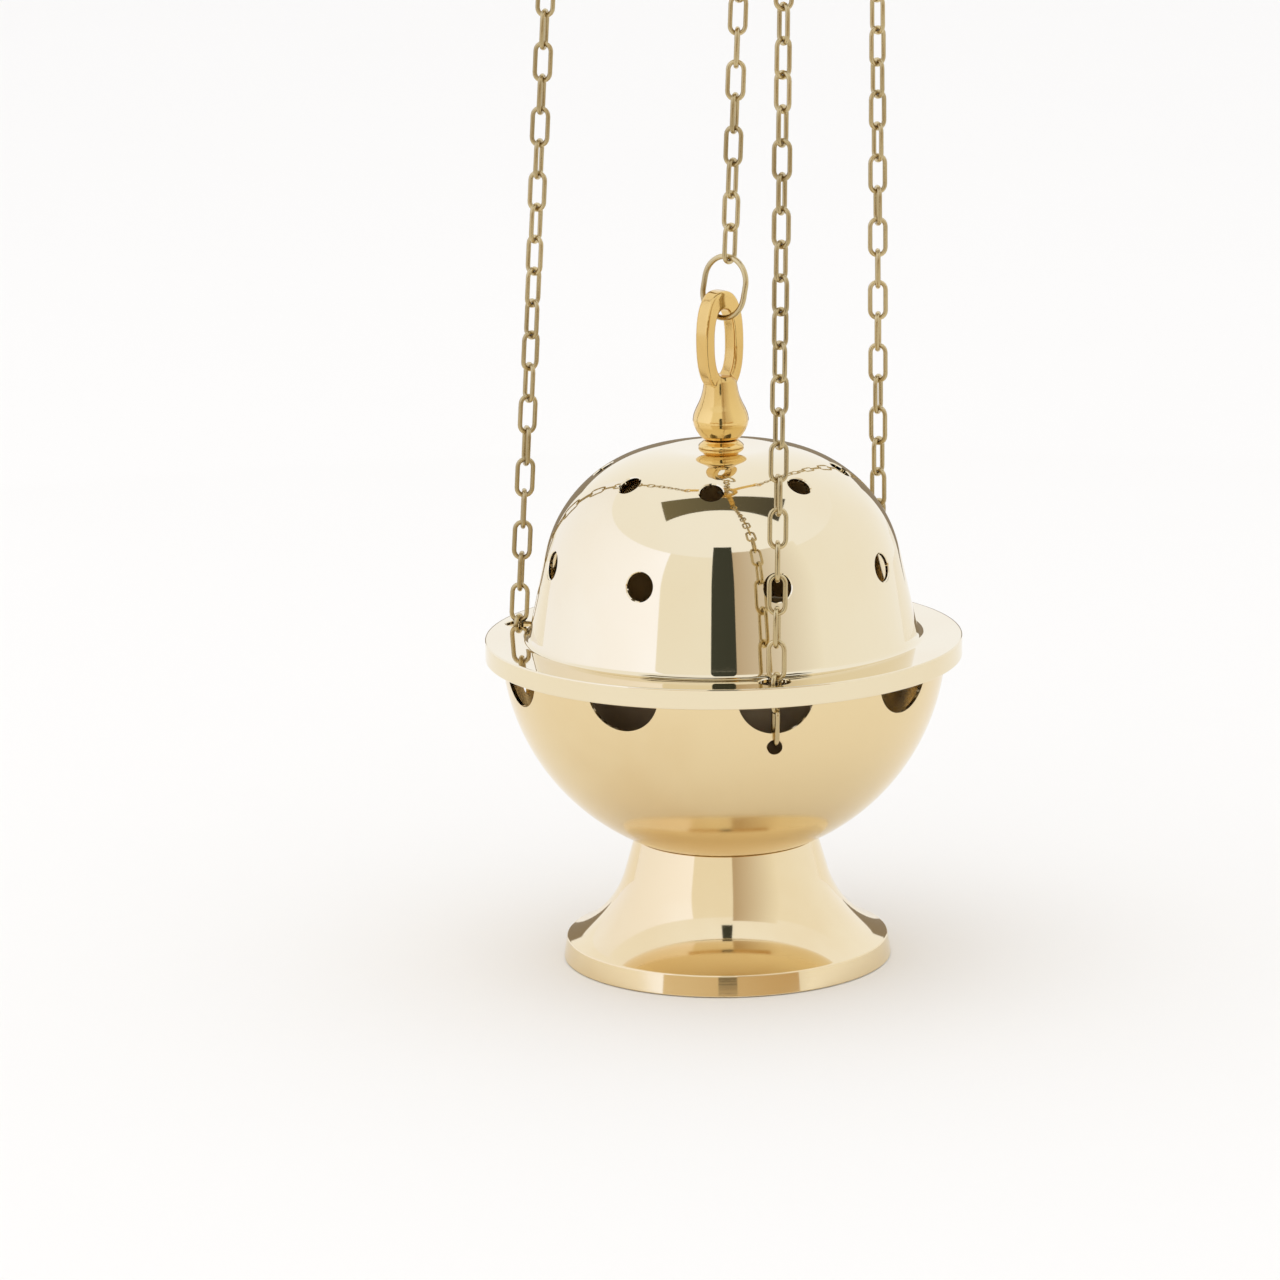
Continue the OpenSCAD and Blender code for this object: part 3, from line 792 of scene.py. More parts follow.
@dataclass(frozen=True)
class Finial:
    """The turned collar and the bulb with its cast eye.

    Both profiles are given as radius and height over the crown, from the foot up.
    """

    crown_z: float = 138.6
    collar_height: float = 1.95
    rim: tuple[tuple[float, float], ...] = (
        (5.9, 0.01), (6.0, 0.2), (6.0, 0.55), (5.7, 0.9), (5.2, 1.3), (4.75, 1.65), (4.6, 1.95),
    )
    stud_radius: float = 2.5
    stud_length: float = 7.5
    neck_radius: float = 4.4
    groove: float = 0.4
    bulb: tuple[tuple[float, float], ...] = (
        (4.7, 2.35), (5.6, 3.1), (6.5, 4.5), (7.15, 5.9), (7.43, 7.4), (7.2, 8.9), (6.6, 10.4),
        (5.85, 11.9), (5.2, 13.4), (4.75, 15.0), (4.5, 16.6), (4.2, 18.0), (3.2, 19.2),
    )
    eye_z: float = 167.0
    eye_rise: float = 13.5
    eye_reach: float = 6.5
    eye_thick: float = 5.0
    eye_turn: float = 40.0
    hole_z: float = 166.5
    hole_rise: float = 9.1
    hole_reach: float = 3.4
    squareness: float = 2.4

    def collar(self) -> bmesh.types.BMesh:
        """The turned collar: a hollow slope over an upright edge."""
        side = Outline(self.stud_radius, self.crown_z + 0.01)
        for radius, rise in self.rim:
            side.line(radius, self.crown_z + rise)
        side.line(self.stud_radius, self.crown_z + self.collar_height)
        bm = side.spun(FINE_STEPS)
        soften(bm, 0.12, 3)
        return bm

    def bulb_solid(self) -> bmesh.types.BMesh:
        """The stud, the groove and the bulb."""
        low, inner = self.crown_z + self.collar_height, self.neck_radius - 0.5
        stud_low = self.crown_z - self.stud_length
        side = Outline(0, stud_low).line(self.stud_radius, stud_low).line(self.stud_radius, low + 0.05)
        side.line(inner, low + 0.05).line(inner, low + self.groove)
        for radius, rise in self.bulb:
            side.line(radius, self.crown_z + rise)
        return side.line(0, self.crown_z + self.bulb[-1][1]).spun(FINE_STEPS, closed=False)

    def oval(self, reach: float, rise: float, thick: float, z: float) -> bmesh.types.BMesh:
        """A plate with a blunt oval outline.

        Args:
            reach: half its width.
            rise: half its height.
            thick: thickness along Y.
            z: height of its middle.

        Returns:
            The plate, in the XZ plane.
        """
        bm = bmesh.new()
        ring = bmesh.ops.create_circle(bm, cap_ends=True, radius=1.0, segments=112)["verts"]
        for vert in ring:
            x, y = vert.co.x, vert.co.y
            size = (abs(x) ** self.squareness + abs(y) ** self.squareness) ** (-1 / self.squareness)
            vert.co = (x * size * reach, -thick / 2, z + y * size * rise)
        front = bmesh.ops.extrude_face_region(bm, geom=bm.faces[:])["geom"]
        verts = [v for v in front if isinstance(v, bmesh.types.BMVert)]
        bmesh.ops.translate(bm, vec=(0, thick, 0), verts=verts)
        bmesh.ops.recalc_face_normals(bm, faces=bm.faces)
        return bm

    def build(self, shop: Shop) -> None:
        """Makes the collar and the finial."""
        collar = shop.blank("collar_turned", self.collar())
        shop.deliver(collar, "lid", "finial_collar", Finish.CAST)
        eye = shop.blank("eye", self.oval(self.eye_reach, self.eye_rise, self.eye_thick, self.eye_z))
        shop.combine(eye, self.oval(self.hole_reach, self.hole_rise, self.eye_thick * 2, self.hole_z))
        shop.rounded(eye, 0.8, 4)
        bm = bmesh.new()
        bm.from_mesh(eye.data)
        bpy.data.meshes.remove(eye.data)
        piece = shop.cast("finial_cast", [self.bulb_solid(), moved(bm, turned(self.eye_turn))], 0.2, 14)
        shop.deliver(piece, "lid", "finial", Finish.CAST, sharp=50.0)


# ---- chains and rings ----


@dataclass(frozen=True)
class ChainRun:
    """One run of links: its ends, the turn of its first link and how its last links turn further."""

    name: str
    node: str
    body: str
    low: Vector
    high: Vector
    count: int
    start: float
    end_turn: float
    anchor: Matrix | None = None


@dataclass(frozen=True)
class Chains:
    """The three bowl chains, the lid chain and the rings they end in."""

    wire: float = 1.25
    width: float = 5.4
    pitch: float = 8.6
    slack: float = 0.05
    twist: float = 6.0
    end_links: int = 5
    links: int = 22
    lid_links: int = 12
    turn: float = 13.2
    bowl_radius: float = 58.7
    bowl_z: float = 87.0
    hole_z: float = 70.2
    hole_radius: float = 2.0
    anchor_tilt: float = 8.0
    spread: float = 51.5
    ring_radius: float = 4.0
    ring_wire: float = 1.4
    jump_wire: float = 1.5
    jump_width: float = 14.5
    jump_length: float = 16.3
    jump_turn: float = -35.0
    jump_shift: float = 2.8
    jump_z: float = 173.3
    lid_lean: float = 2.7

    @property
    def length(self) -> float:
        """Distance between the centres of a link's end wires."""
        return self.pitch + self.wire + self.slack

    @property
    def turns(self) -> tuple[float, float, float]:
        """Directions of the three bowl chains."""
        return self.turn, self.turn + 120, self.turn - 120

    def around(self, radius: float, turn: float, z: float) -> Vector:
        """A point at a radius and height in a chain's direction."""
        angle = math.radians(turn)
        return Vector((radius * math.sin(angle), -radius * math.cos(angle), z))

    def runs(self, lean: float) -> list[ChainRun]:
        """The four chains between their ends.

        Args:
            lean: how far the hanger stands to the right of the bowl.

        Returns:
            The runs, front, right, left and lid.
        """
        foot_z = self.hole_z + self.hole_radius - self.wire / 2 - 2 * self.slack
        foot_r = math.sqrt(self.bowl_radius**2 - (self.bowl_z - foot_z) ** 2)
        tilt = math.radians(self.anchor_tilt)
        low_r = foot_r + self.length * math.sin(tilt)
        low_z = foot_z + self.length * math.cos(tilt) - self.wire - self.slack
        rise = self.links * self.pitch + self.wire + self.slack
        runs = []
        plan = (("front", 10.0, -17.0), ("right", 15.0, -3.0), ("left", 80.0, -6.8))
        for turn, (side, start, end_turn) in zip(self.turns, plan):
            anchor = turned(turn) @ shifted(0, -foot_r, foot_z) @ tipped(self.anchor_tilt) @ turned(90)
            low = self.around(low_r, turn, low_z)
            high = self.around(self.spread, turn, low_z + rise) + Vector((lean, 0, 0))
            names = ("links_" + side, "chain_" + side, "hanger")
            runs.append(ChainRun(*names, low, high, self.links, start, end_turn, anchor))
        tip = math.atan2(self.jump_shift, self.jump_length)
        jump_top = self.jump_z + self.jump_length * math.cos(tip)
        low_z = jump_top - (self.jump_wire + self.wire) / 2 - self.slack
        rise = self.lid_links * self.pitch + self.wire + self.slack
        low = Vector((self.jump_length * math.sin(tip), 0, low_z))
        high = low + tipped(self.lid_lean, "Y") @ Vector((0, 0, rise))
        runs.append(ChainRun("links_lid", "lid_chain", "lid", low, high, self.lid_links, 50.0, 12.8))
        return runs

    def places(self, run: ChainRun) -> list[Matrix]:
        """Where each link of a run goes."""
        line = along(run.low, run.high)
        spots = [run.anchor] if run.anchor else []
        for index in range(run.count):
            extra = max(0, index + 1 + self.end_links - run.count) * run.end_turn
            spin = run.start + index * (90 + self.twist) + extra
            spots.append(line @ shifted(0, 0, index * self.pitch) @ turned(spin))
        return spots

    def mark_rubbed(self, piece: bpy.types.Object, length: float, wire: float, count: int) -> None:
        """Marks where links rub on each other, near their ends, from 0 to 1.

        Args:
            piece: links of equal mesh, one after another.
            length: distance between a link's end wires.
            wire: wire diameter.
            count: number of links.
        """
        mesh = piece.data
        rubbed = mesh.attributes.new("rubbed", "FLOAT", "POINT")
        each = len(mesh.vertices) // count
        values = []
        for index in range(count):
            points = [mesh.vertices[index * each + i].co for i in range(each)]
            centre = sum(points, Vector()) / each
            for point in points:
                far = (point - centre).length / (length / 2 + wire / 2)
                values.append(min(1.0, max(0.0, (far - 0.72) / 0.26)))
        rubbed.data.foreach_set("value", values)

    def build(self, shop: Shop) -> None:
        """Makes the chains, the jump ring and the spreader's small rings."""
        lean = shop.stand.lean
        runs = self.runs(lean)
        for run in runs:
            spots = self.places(run)
            piece = shop.blank(run.name, repeated(long_link(self.length, self.width, self.wire), spots))
            self.mark_rubbed(piece, self.length, self.wire, len(spots))
            shop.deliver(piece, run.body, run.node, Finish.WIRE, sharp=60.0)
        tip = math.degrees(math.atan2(self.jump_shift, self.jump_length))
        place = shifted(0, 0, self.jump_z) @ tipped(tip, "Y") @ turned(self.jump_turn)
        jump = moved(long_link(self.jump_length, self.jump_width, self.jump_wire, 28, 16), place)
        piece = shop.blank("jump_link", jump)
        self.mark_rubbed(piece, self.jump_length, self.jump_wire, 1)
        shop.deliver(piece, "lid", "jump_ring", Finish.WIRE, sharp=60.0)
        hook = self.ring_radius - (self.ring_wire + self.wire) / 2 - self.slack
        spots = []
        for turn, run in zip(self.turns, runs):
            short = (run.high - run.low).length - (run.high - run.low).z
            middle = Matrix.Translation(run.high + Vector((0, 0, hook - short)))
            spots.append(middle @ turned(turn) @ tipped(90, "Y"))
        ring = wire_ring(self.ring_radius, self.ring_wire, 48, 16)
        piece = shop.blank("rings_small", repeated(ring, spots))
        self.mark_rubbed(piece, self.ring_radius, self.ring_wire, 3)
        shop.deliver(piece, "hanger", "spreader_rings", Finish.WIRE, sharp=60.0)


# ---- hanger ----


@dataclass(frozen=True)
class Hanger:
    """The spreader, guide bush, stirrup, swivel and grip ring over the chains."""

    hub_z: float = 271.904
    hub_radius: float = 13.45
    hub_height: float = 11.5
    arm_z: float = 272.904
    arm_width: float = 6.5
    arm_thick: float = 2.6
    arm_boss: float = 5.0
    boss_rise: float = 0.15
    boss_at: float = 48.0
    boss_hole: float = 2.8
    turn: float = 13.2
    bush_radius: float = 7.0
    bush_wall: float = 1.2
    bush_lip: float = 2.0
    leg_z: float = 276.904
    leg_thick: float = 3.0
    leg_width: float = 7.0
    arch_radius: float = 13.55
    arch_z: float = 344.854
    rivet_z: float = 280.904
    rivet_radius: float = 1.5
    rivet_head: float = 3.0
    rivet_rise: float = 1.6
    top_boss: float = 5.5
    top_z: float = 357.804
    top_height: float = 5.6
    pin_radius: float = 2.5
    swivel_gap: float = 0.2
    collar_radius: float = 4.5
    collar_height: float = 2.8
    eye_radius: float = 6.0
    eye_wire: float = 3.2
    grip_radius: float = 20.0
    grip_wire: float = 4.0
    grip_z: float = 395.354
    pull_radius: float = 7.5
    pull_wire: float = 2.0
    pull_x: float = 7.68221
    pull_z: float = 298.149
    washer_radius: float = 4.5
    nut_radius: float = 4.0
    nut_height: float = 3.0
    washer: float = 1.0

    def spreader(self, shop: Shop, hang: Matrix) -> None:
        """Makes the hub with its three arms.

        Args:
            shop: the shop that makes the piece.
            hang: the move from the bowl's axis to the hanger's.
        """
        hub = Outline(self.bush_radius + self.bush_wall, self.hub_z).line(self.hub_radius, self.hub_z)
        hub.line(self.hub_radius, self.hub_z + self.hub_height)
        hub.line(self.bush_radius + self.bush_wall, self.hub_z + self.hub_height)
        piece = shop.blank("spreader_cast", hub.spun(FINE_STEPS))
        arm = bmesh.new()
        bmesh.ops.create_cube(arm, size=1.0)
        reach = self.boss_at - self.hub_radius + 2
        bmesh.ops.scale(arm, vec=(self.arm_width, reach, self.arm_thick), verts=arm.verts)
        centre = shifted(0, -(self.boss_at - reach / 2), self.arm_z + self.arm_thick / 2)
        boss_low, boss_high = self.arm_z - self.boss_rise, self.arm_z + self.arm_thick + self.boss_rise
        boss = rod(self.arm_boss, boss_low, boss_high)
        turns = [turned(self.turn + i * 120) for i in range(3)]
        shop.combine(piece, repeated(arm, [t @ centre for t in turns]), "UNION")
        shop.combine(piece, repeated(boss, [t @ shifted(0, -self.boss_at, 0) for t in turns]), "UNION")
        hole = rod(self.boss_hole, self.arm_z - 2, self.arm_z + self.arm_thick + 2, 32)
        shop.combine(piece, repeated(hole, [t @ shifted(0, -self.boss_at, 0) for t in turns]))
        shop.rounded(piece, 0.45)
        self.hand_over(shop, piece, hang, "hanger", "spreader", Finish.CAST)

    def hand_over(
        self,
        shop: Shop,
        piece: bpy.types.Object,
        hang: Matrix,
        body: str,
        node: str,
        finish: Finish,
    ) -> None:
        """Moves a piece from the bowl's axis to the hanger's and delivers it."""
        piece.data.transform(hang)
        shop.deliver(piece, body, node, finish)

    def bush(self, shop: Shop, hang: Matrix) -> None:
        """Makes the lipped bush that the lid chain runs through."""
        inner, outer = self.bush_radius, self.bush_radius + self.bush_wall
        top, low = self.hub_z + self.hub_height, self.hub_z
        side = Outline(inner, top).arc(inner + self.bush_wall / 2, top, 180, 8).line(outer, low)
        side.line(inner + self.bush_lip, low).line(inner + self.bush_lip, low - self.bush_lip / 2)
        side.line(inner + 0.6, low - self.bush_lip / 2)
        side.arc(inner + 0.6, low - self.bush_lip / 2 + 0.6, 90, 5)
        bm = side.spun(FINE_STEPS)
        bmesh.ops.translate(bm, vec=(0, 0, -0.001), verts=bm.verts)
        piece = shop.blank("bush_turned", bm)
        self.hand_over(shop, piece, hang, "hanger", "guide_bush", Finish.FOOT)

    def stirrup(self, shop: Shop, hang: Matrix) -> None:
        """Makes the bow over the hub with its top boss.

        Args:
            shop: the shop that makes the piece.
            hang: the move from the bowl's axis to the hanger's.
        """
        bm = bmesh.new()
        face = bmesh.ops.create_grid(bm, x_segments=1, y_segments=1, size=0.5)["verts"]
        bmesh.ops.scale(bm, vec=(self.leg_width, self.leg_thick, 1), verts=face)
        bmesh.ops.translate(bm, vec=(0, self.arch_radius + self.leg_thick / 2, self.leg_z), verts=face)
        rise = self.arch_z - self.leg_z
        last = self.drawn(bm, bm.faces[:], rise)
        made = bmesh.ops.spin(
            bm, geom=last, cent=(0, 0, self.arch_z), axis=(1, 0, 0), dvec=(0, 0, 0), angle=math.pi,
            steps=48, use_merge=False, use_duplicate=False,
        )
        self.drawn(bm, [f for f in made["geom_last"] if isinstance(f, bmesh.types.BMFace)], -rise)
        bmesh.ops.recalc_face_normals(bm, faces=bm.faces)
        piece = shop.blank("stirrup_bow", bm)
        boss = rod(self.top_boss, self.top_z, self.top_z + self.top_height, FINE_STEPS)
        shop.combine(piece, boss, "UNION")
        shop.combine(piece, rod(self.pin_radius + 0.05, self.top_z - 5, self.top_z + self.top_height + 5))
        shop.rounded(piece, 0.5)
        self.hand_over(shop, piece, hang, "hanger", "stirrup", Finish.CAST)

    @staticmethod
    def drawn(bm: bmesh.types.BMesh, faces: list[bmesh.types.BMFace], rise: float) -> list[Any]:
        """Draws faces straight up or down, and gives the new end."""
        made = bmesh.ops.extrude_face_region(bm, geom=faces)["geom"]
        verts = [v for v in made if isinstance(v, bmesh.types.BMVert)]
        bmesh.ops.translate(bm, vec=(0, 0, rise), verts=verts)
        return made

    def rivets(self, shop: Shop, hang: Matrix) -> None:
        """Makes the two domed rivets that hold the stirrup on the hub."""
        seat = self.arch_radius + self.leg_thick
        bulge = (self.rivet_head**2 + self.rivet_rise**2) / (2 * self.rivet_rise)
        sweep = math.degrees(math.asin(self.rivet_head / bulge))
        side = Outline(0, self.hub_radius - 5).line(self.rivet_radius, self.hub_radius - 5)
        side.line(self.rivet_radius, seat).line(self.rivet_head, seat)
        side.arc(0, seat + self.rivet_rise - bulge, -sweep, 10)
        spots = [shifted(0, 0, self.rivet_z) @ tipped(side_on * 90) for side_on in (1, -1)]
        piece = shop.blank("rivets_domed", repeated(side.spun(48, closed=False), spots))
        self.hand_over(shop, piece, hang, "hanger", "stirrup_rivets", Finish.FOOT)

    def swivel(self, shop: Shop, hang: Matrix) -> None:
        """Makes the eye that turns in the stirrup, with its washer and riveted nut.

        Args:
            shop: the shop that makes the pieces.
            hang: the move from the bowl's axis to the hanger's.
        """
        collar_z = self.top_z + self.top_height + self.swivel_gap
        eye_z = collar_z + self.collar_height + self.eye_radius + 0.6
        low = self.top_z - self.swivel_gap - self.washer - self.nut_height
        stem = Outline(0, low).line(self.pin_radius, low).line(self.pin_radius, collar_z)
        stem.line(self.collar_radius, collar_z)
        stem.line(self.collar_radius, collar_z + self.collar_height - 0.8)
        stem.line(self.collar_radius - 1.6, collar_z + self.collar_height)
        pin = stem.line(0, collar_z + self.collar_height + 0.6).spun(64, closed=False)
        soften(pin, 0.25, 2)
        ring = wire_ring(self.eye_radius, self.eye_wire, 72, 24)
        eye = moved(ring, shifted(0, 0, eye_z) @ tipped(90, "Y"))
        piece = shop.cast("swivel_cast", [pin, eye], 0.2, 3)
        piece.data.transform(hang)
        shop.deliver(piece, "eye", "swivel_eye", Finish.CAST, sharp=50.0)
        washer_z = self.top_z - self.swivel_gap - self.washer
        disc = washer_disc(self.washer_radius, self.pin_radius + 0.02, washer_z, self.washer)
        piece = shop.blank("washer_swivel", disc)
        self.hand_over(shop, piece, hang, "eye", "swivel_washer", Finish.FOOT)
        nut = Outline(self.pin_radius, low).line(self.nut_radius, low)
        nut.line(self.nut_radius, low + self.nut_height)
        nut_bm = nut.line(self.pin_radius, low + self.nut_height).spun(64)
        soften(nut_bm, 0.4, 3)
        piece = shop.blank("nut_swivel", nut_bm)
        self.hand_over(shop, piece, hang, "eye", "swivel_nut", Finish.STEEL)

    def rings(self, shop: Shop, hang: Matrix) -> None:
        """Makes the grip ring and the pull ring."""
        ring = wire_ring(self.grip_radius, self.grip_wire, 160, 28)
        grip = shop.blank("grip_wire", moved(ring, shifted(0, 0, self.grip_z) @ tipped(90)))
        self.hand_over(shop, grip, hang, "grip", "grip_ring", Finish.CAST)
        place = shifted(self.pull_x, 0, self.pull_z) @ tipped(90)
        pull = moved(wire_ring(self.pull_radius, self.pull_wire, 96, 20), place)
        shop.deliver(shop.blank("pull_wire", pull), "pull", "pull_ring", Finish.CAST)

    def build(self, shop: Shop) -> None:
        """Makes every piece of the hanger."""
        hang = shifted(shop.stand.lean, 0, 0)
        self.spreader(shop, hang)
        self.bush(shop, hang)
        self.stirrup(shop, hang)
        self.rivets(shop, hang)
        self.swivel(shop, hang)
        self.rings(shop, hang)


# ---- fixings ----


def washer_disc(radius: float, bore: float, z: float, thick: float) -> bmesh.types.BMesh:
    """A flat washer with soft edges."""
    bm = Outline(bore, z).line(radius, z).line(radius, z + thick).line(bore, z + thick).spun(64)
    soften(bm, 0.15, 2)
    return bm


def hex_nut(flats: float, bore: float, z: float, height: float) -> bmesh.types.BMesh:
    """A hexagon nut with soft edges, before it is bored."""
    bm = bmesh.new()
    radius = flats / math.sqrt(3)
    bmesh.ops.create_cone(bm, cap_ends=True, segments=6, radius1=radius, radius2=radius, depth=height)
    bmesh.ops.rotate(bm, cent=(0, 0, 0), matrix=Matrix.Rotation(math.radians(30), 3, "Z"), verts=bm.verts)
    bmesh.ops.translate(bm, vec=(0, 0, z + height / 2), verts=bm.verts)
    soften(bm, 0.3, 3)
    return bm


@dataclass(frozen=True)
class Fixings:
    """The screws, nuts and washers that hold the foot and the finial."""

    screw: float = 2.5
    bore: float = 2.55
    washer: float = 6.0
    thick: float = 1.0
    flats: float = 8.0
    nut: float = 4.0
    head: float = 4.25
    head_height: float = 3.0
    crown_z: float = 138.6
    sheet: float = 1.0
    foot_under: float = 26.6
    bowl_inside: float = 29.16

    def bored_nut(self, shop: Shop, name: str, z: float) -> bpy.types.Object:
        """A nut with its thread bore."""
        piece = shop.blank(name, hex_nut(self.flats, self.screw, z, self.nut))
        shop.combine(piece, rod(self.screw, z - 1, z + self.nut + 1, 40))
        return piece

    def build(self, shop: Shop) -> None:
        """Makes the fixings of the foot and of the finial."""
        z = self.crown_z - self.sheet - self.thick
        disc = washer_disc(self.washer, self.bore, z, self.thick)
        shop.deliver(shop.blank("washer_finial", disc), "lid", "finial_washer", Finish.FOOT)
        piece = self.bored_nut(shop, "nut_finial", z - self.nut)
        shop.deliver(piece, "lid", "finial_nut", Finish.STEEL)
        under, inside = self.foot_under, self.bowl_inside
        discs = joined(
            washer_disc(self.washer, self.bore, low, self.thick) for low in (under - self.thick, inside)
        )
        shop.deliver(shop.blank("washers_foot", discs), "hanger", "foot_washers", Finish.FOOT)
        piece = self.bored_nut(shop, "nut_foot", inside + self.thick)
        shop.deliver(piece, "hanger", "foot_nut", Finish.STEEL)
        low = under - self.thick - self.head_height
        top = under + 2.2 * self.sheet + self.thick + self.nut + 2
        side = Outline(0, low).line(self.head - 0.8, low).arc(self.head - 0.8, low + 0.8, -90, 6)
        side.line(self.head, low + self.head_height).line(self.screw, low + self.head_height)
        side.line(self.screw, top - 0.5).line(self.screw - 0.5, top)
        piece = shop.blank("screw_foot", side.line(0, top).spun(64, closed=False))
        slot = bmesh.new()
        bmesh.ops.create_cube(slot, size=1.0)
        bmesh.ops.scale(slot, vec=(12, 1.2, 2.4), verts=slot.verts)
        shop.combine(piece, moved(slot, shifted(0, 0, low)))
        shop.deliver(piece, "hanger", "foot_screw", Finish.STEEL)


# ---- studio ----


@dataclass(frozen=True)
class Card:
    """A card that only mirrors see, bent round the bowl's axis.

    Its angles run from the front towards the right. Its colour goes from first to last along them.
    """

    name: str
    radius: float
    left: float
    right: float
    low: float
    high: float
    first: Colour
    last: Colour

    def mesh(self, stand: Stand) -> bpy.types.Mesh:
        """Bends the card, and marks how far along it each point is."""
        bm = bmesh.new()
        ends = [bm.verts.new((0, -self.radius, z)) for z in (self.low, self.high)]
        edge = bm.edges.new(ends)
        start = Matrix.Rotation(math.radians(self.left), 3, "Z")
        bmesh.ops.rotate(bm, cent=(0, 0, 0), matrix=start, verts=ends)
        bmesh.ops.spin(
            bm, geom=[*ends, edge], cent=(0, 0, 0), axis=(0, 0, 1), dvec=(0, 0, 0),
            angle=math.radians(self.right - self.left), steps=24, use_merge=False, use_duplicate=False,
        )
        share = [((math.degrees(math.atan2(v.co.x, -v.co.y)) - self.left) % 360) for v in bm.verts]
        span = self.right - self.left
        return marked(self.name, bm, stand, [min(1.0, s / span) if s < 359.9 else 0.0 for s in share])


@dataclass(frozen=True)
class Canopy:
    """A dark strip over the thurible that only mirrors see, bent level through three pairs of corners."""

    name: str
    z: float
    near: tuple[tuple[float, float], ...]
    far: tuple[tuple[float, float], ...]
    first: Colour
    last: Colour
    steps: int = 16

    @staticmethod
    def bend(points: tuple[tuple[float, float], ...], share: float) -> Vector:
        """The place a share of the way along the smooth bend through three points."""
        start, middle, end = (Vector(point) for point in points)
        first = (1 - share) * (1 - 2 * share)
        second = 4 * share * (1 - share)
        return start * first + middle * second + end * (share * (2 * share - 1))

    def mesh(self, stand: Stand) -> bpy.types.Mesh:
        """Lays the strip out, and marks how far along it each point is."""
        bm = bmesh.new()
        bmesh.ops.create_grid(bm, x_segments=self.steps, y_segments=1, size=1.0)
        share = []
        for vert in bm.verts:
            along_it, edge = (vert.co.x + 1) / 2, self.far if vert.co.y > 0 else self.near
            vert.co = (*self.bend(edge, along_it), self.z)
            share.append(along_it)
        return marked(self.name, bm, stand, share)


def marked(name: str, bm: bmesh.types.BMesh, stand: Stand, share: Sequence[float]) -> bpy.types.Mesh:
    """Turns a stage bmesh into a placed mesh that holds a share from 0 to 1 for each point."""
    stand.place(bm)
    mesh = bpy.data.meshes.new(name)
    bm.to_mesh(mesh)
    bm.free()
    mesh.attributes.new("along", "FLOAT", "POINT").data.foreach_set("value", list(share))
    return mesh


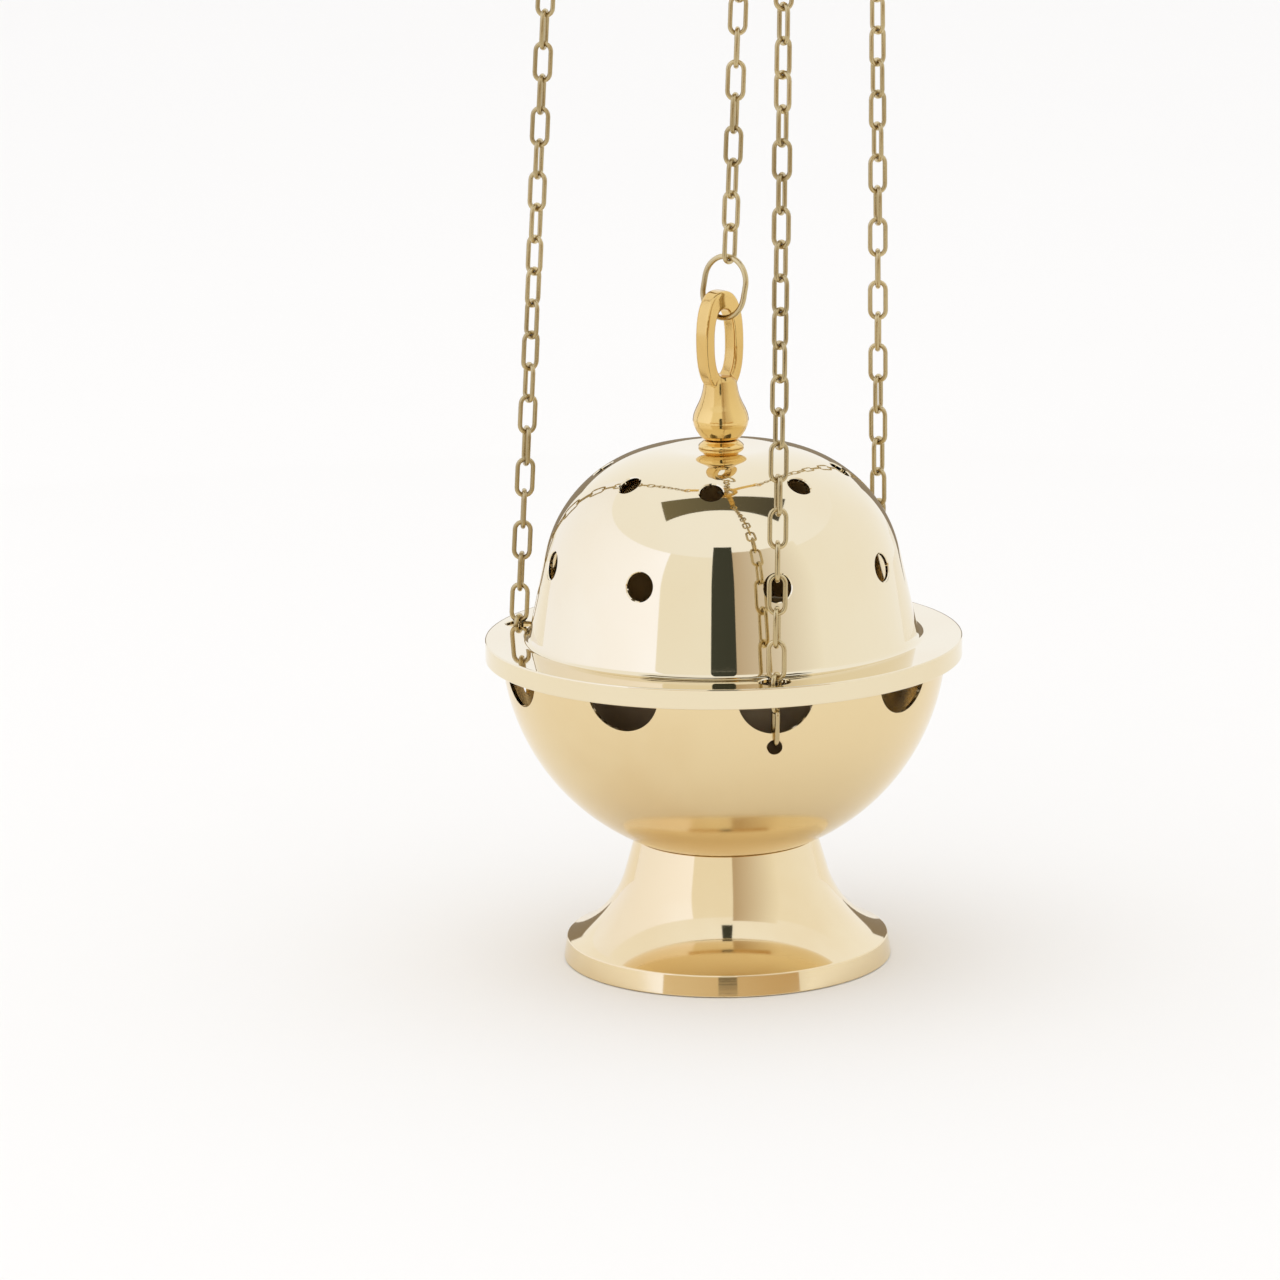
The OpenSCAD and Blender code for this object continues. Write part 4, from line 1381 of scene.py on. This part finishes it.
@dataclass(frozen=True)
class Studio:
    """The floor, the light, the cards and the camera."""

    distance: float = 1568.0
    height: float = 446.0
    pitch: float = 0.224
    roll: float = -0.0127
    focal: float = 6041.0
    frame_size: float = 1280.0
    aim: Vector = field(default_factory=lambda: Vector((83.43, 9.47)))
    floor: Colour = (0.92, 0.885, 0.81)
    sky: Colour = (1.04, 1.07, 1.16)
    soft_box: float = 1.6
    soft_box_at: Vector = field(default_factory=lambda: Vector((-500, -200, 2000)))
    soft_box_glow: float = 0.4
    cards: tuple[Card | Canopy, ...] = (
        Card("slit", 100.0, -5.6, 5.6, 99.0, 184.0, (0.055, 0.06, 0.05), (0.05, 0.055, 0.045)),
        Card("low slit", 1300.0, -6.4, 6.4, 50.0, 205.0, (0.06, 0.06, 0.05), (0.05, 0.05, 0.04)),
        Card("low front", 1350.0, -45.0, 50.0, -20.0, 225.0, (0.80, 0.66, 0.46), (0.60, 0.42, 0.22)),
        Card("pale front", 1500.0, -40.0, 7.0, -300.0, 1300.0, (1.0, 1.0, 1.0), (1.0, 1.0, 1.0)),
        Card("white side", 1500.0, -150.0, -40.0, -300.0, 1300.0, (1.04, 1.08, 1.24), (1.20, 1.28, 1.62)),
        Card("tan side", 1400.0, 7.0, 60.0, -300.0, 1400.0, (0.58, 0.48, 0.38), (1.0, 1.0, 1.0)),
        Card("right side", 1500.0, 50.0, 150.0, -300.0, 1300.0, (1.0, 1.0, 1.0), (1.04, 1.07, 1.16)),
        Card("back edge", 700.0, 156.0, 204.0, 0.0, 225.0, (0.30, 0.25, 0.19), (0.30, 0.25, 0.19)),
        Canopy(
            "arch", 600.0, ((-269.0, -128.0), (0.0, -97.0), (275.0, -140.0)),
            ((-237.0, 58.0), (0.0, 29.0), (245.0, 80.0)), (0.20, 0.175, 0.11), (0.075, 0.07, 0.055),
        ),
    )

    def camera(self, stand: Stand) -> None:
        """Places the camera."""
        data = bpy.data.cameras.new("camera")
        data.sensor_width = 36.0
        data.lens = self.focal / self.frame_size * data.sensor_width
        data.clip_start, data.clip_end = 0.05, 60.0
        eye = bpy.data.objects.new("camera", data)
        bpy.context.scene.collection.objects.link(eye)
        look = Matrix.Rotation(math.pi / 2 - self.pitch, 3, "X") @ Matrix.Rotation(self.roll, 3, "Z")
        aimed = Vector((self.aim.x, self.aim.y, -self.focal)).rotation_difference(Vector((0, 0, -1)))
        turn = look @ aimed.to_matrix()
        eye.matrix_world = Matrix.Translation(stand.point(0, -self.distance, self.height)) @ turn.to_4x4()
        bpy.context.scene.camera = eye

    def ground(self, stand: Stand) -> None:
        """Lays the plain pale floor."""
        bm = bmesh.new()
        bmesh.ops.create_circle(bm, cap_ends=True, radius=9.0, segments=96)
        bmesh.ops.translate(bm, vec=(0, 0, stand.base_z - 0.0002), verts=bm.verts)
        mesh = bpy.data.meshes.new("floor")
        bm.to_mesh(mesh)
        bm.free()
        floor = bpy.data.objects.new("floor", mesh)
        bpy.context.scene.collection.objects.link(floor)
        graph = Graph("pale floor")
        place = graph.node("TexCoord").outputs["Object"]
        mottle = graph.noise(place, 6.0, 4.0)
        colour = graph.blend(mottle * 0.3, self.floor, tuple(c * 0.97 for c in self.floor))
        surface = {"Base Color": colour, "Roughness": 0.85, "Specular IOR Level": 0.1}
        shader = graph.node("BsdfPrincipled", {}, surface)
        graph.node("OutputMaterial", {}, {"Surface": shader.outputs[0]})
        mesh.materials.append(graph.material)

    def hang(self, stand: Stand, card: Card | Canopy) -> None:
        """Hangs one card so that only mirrors see it.

        Args:
            stand: the place that the card is set out from.
            card: the card or canopy.
        """
        mesh = card.mesh(stand)
        graph = Graph(card.name)
        across = graph.level(graph.node("Attribute", {"attribute_name": "along"}), "Fac")
        surface = {
            "Base Color": (0.0, 0.0, 0.0, 1.0), "Roughness": 1.0, "Specular IOR Level": 0.0,
            "Emission Color": graph.blend(across, card.first, card.last), "Emission Strength": 1.0,
        }
        glow = graph.node("BsdfPrincipled", {}, surface)
        graph.node("OutputMaterial", {}, {"Surface": glow.outputs[0]})
        mesh.materials.append(graph.material)
        hung = bpy.data.objects.new(card.name, mesh)
        bpy.context.scene.collection.objects.link(hung)
        hung.visible_camera = False
        hung.visible_diffuse = False
        hung.visible_shadow = False
        hung.visible_transmission = False

    def light(self, stand: Stand) -> None:
        """Sets the white surroundings and one soft box for the shadow on the floor."""
        world = bpy.data.worlds.new("soft white")
        bpy.context.scene.world = world
        world.use_nodes = True
        back = world.node_tree.nodes["Background"]
        back.inputs["Color"].default_value = (*self.sky, 1.0)
        data = bpy.data.lights.new("soft box", "AREA")
        data.shape = "SQUARE"
        data.size = self.soft_box
        data.energy = self.soft_box_glow * math.pi * self.soft_box**2
        lamp = bpy.data.objects.new("soft box", data)
        bpy.context.scene.collection.objects.link(lamp)
        place = stand.point(*self.soft_box_at)
        facing = (stand.point(0, 0, 0) - place).to_track_quat("-Z", "Y")
        lamp.matrix_world = Matrix.Translation(place) @ facing.to_matrix().to_4x4()
        lamp.visible_camera = False
        lamp.visible_glossy = False

    def build(self, stand: Stand) -> None:
        """Sets the stage."""
        self.camera(stand)
        self.ground(stand)
        self.light(stand)
        for card in self.cards:
            self.hang(stand, card)
        bpy.context.scene.view_settings.view_transform = "Standard"
        log.info("studio: %d cards", len(self.cards))


def main() -> None:
    """Builds the thurible piece by piece, then the studio."""
    logging.basicConfig(level=logging.INFO, format="%(name)s: %(message)s")
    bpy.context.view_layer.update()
    stand = Stand.measured()
    shop = Shop(stand)
    for part in (Foot(), Bowl(), CoalCup(), Lid(), Finial(), Chains(), Hanger(), Fixings()):
        part.build(shop)
    Studio().build(stand)


if __name__ == "__main__":
    main()
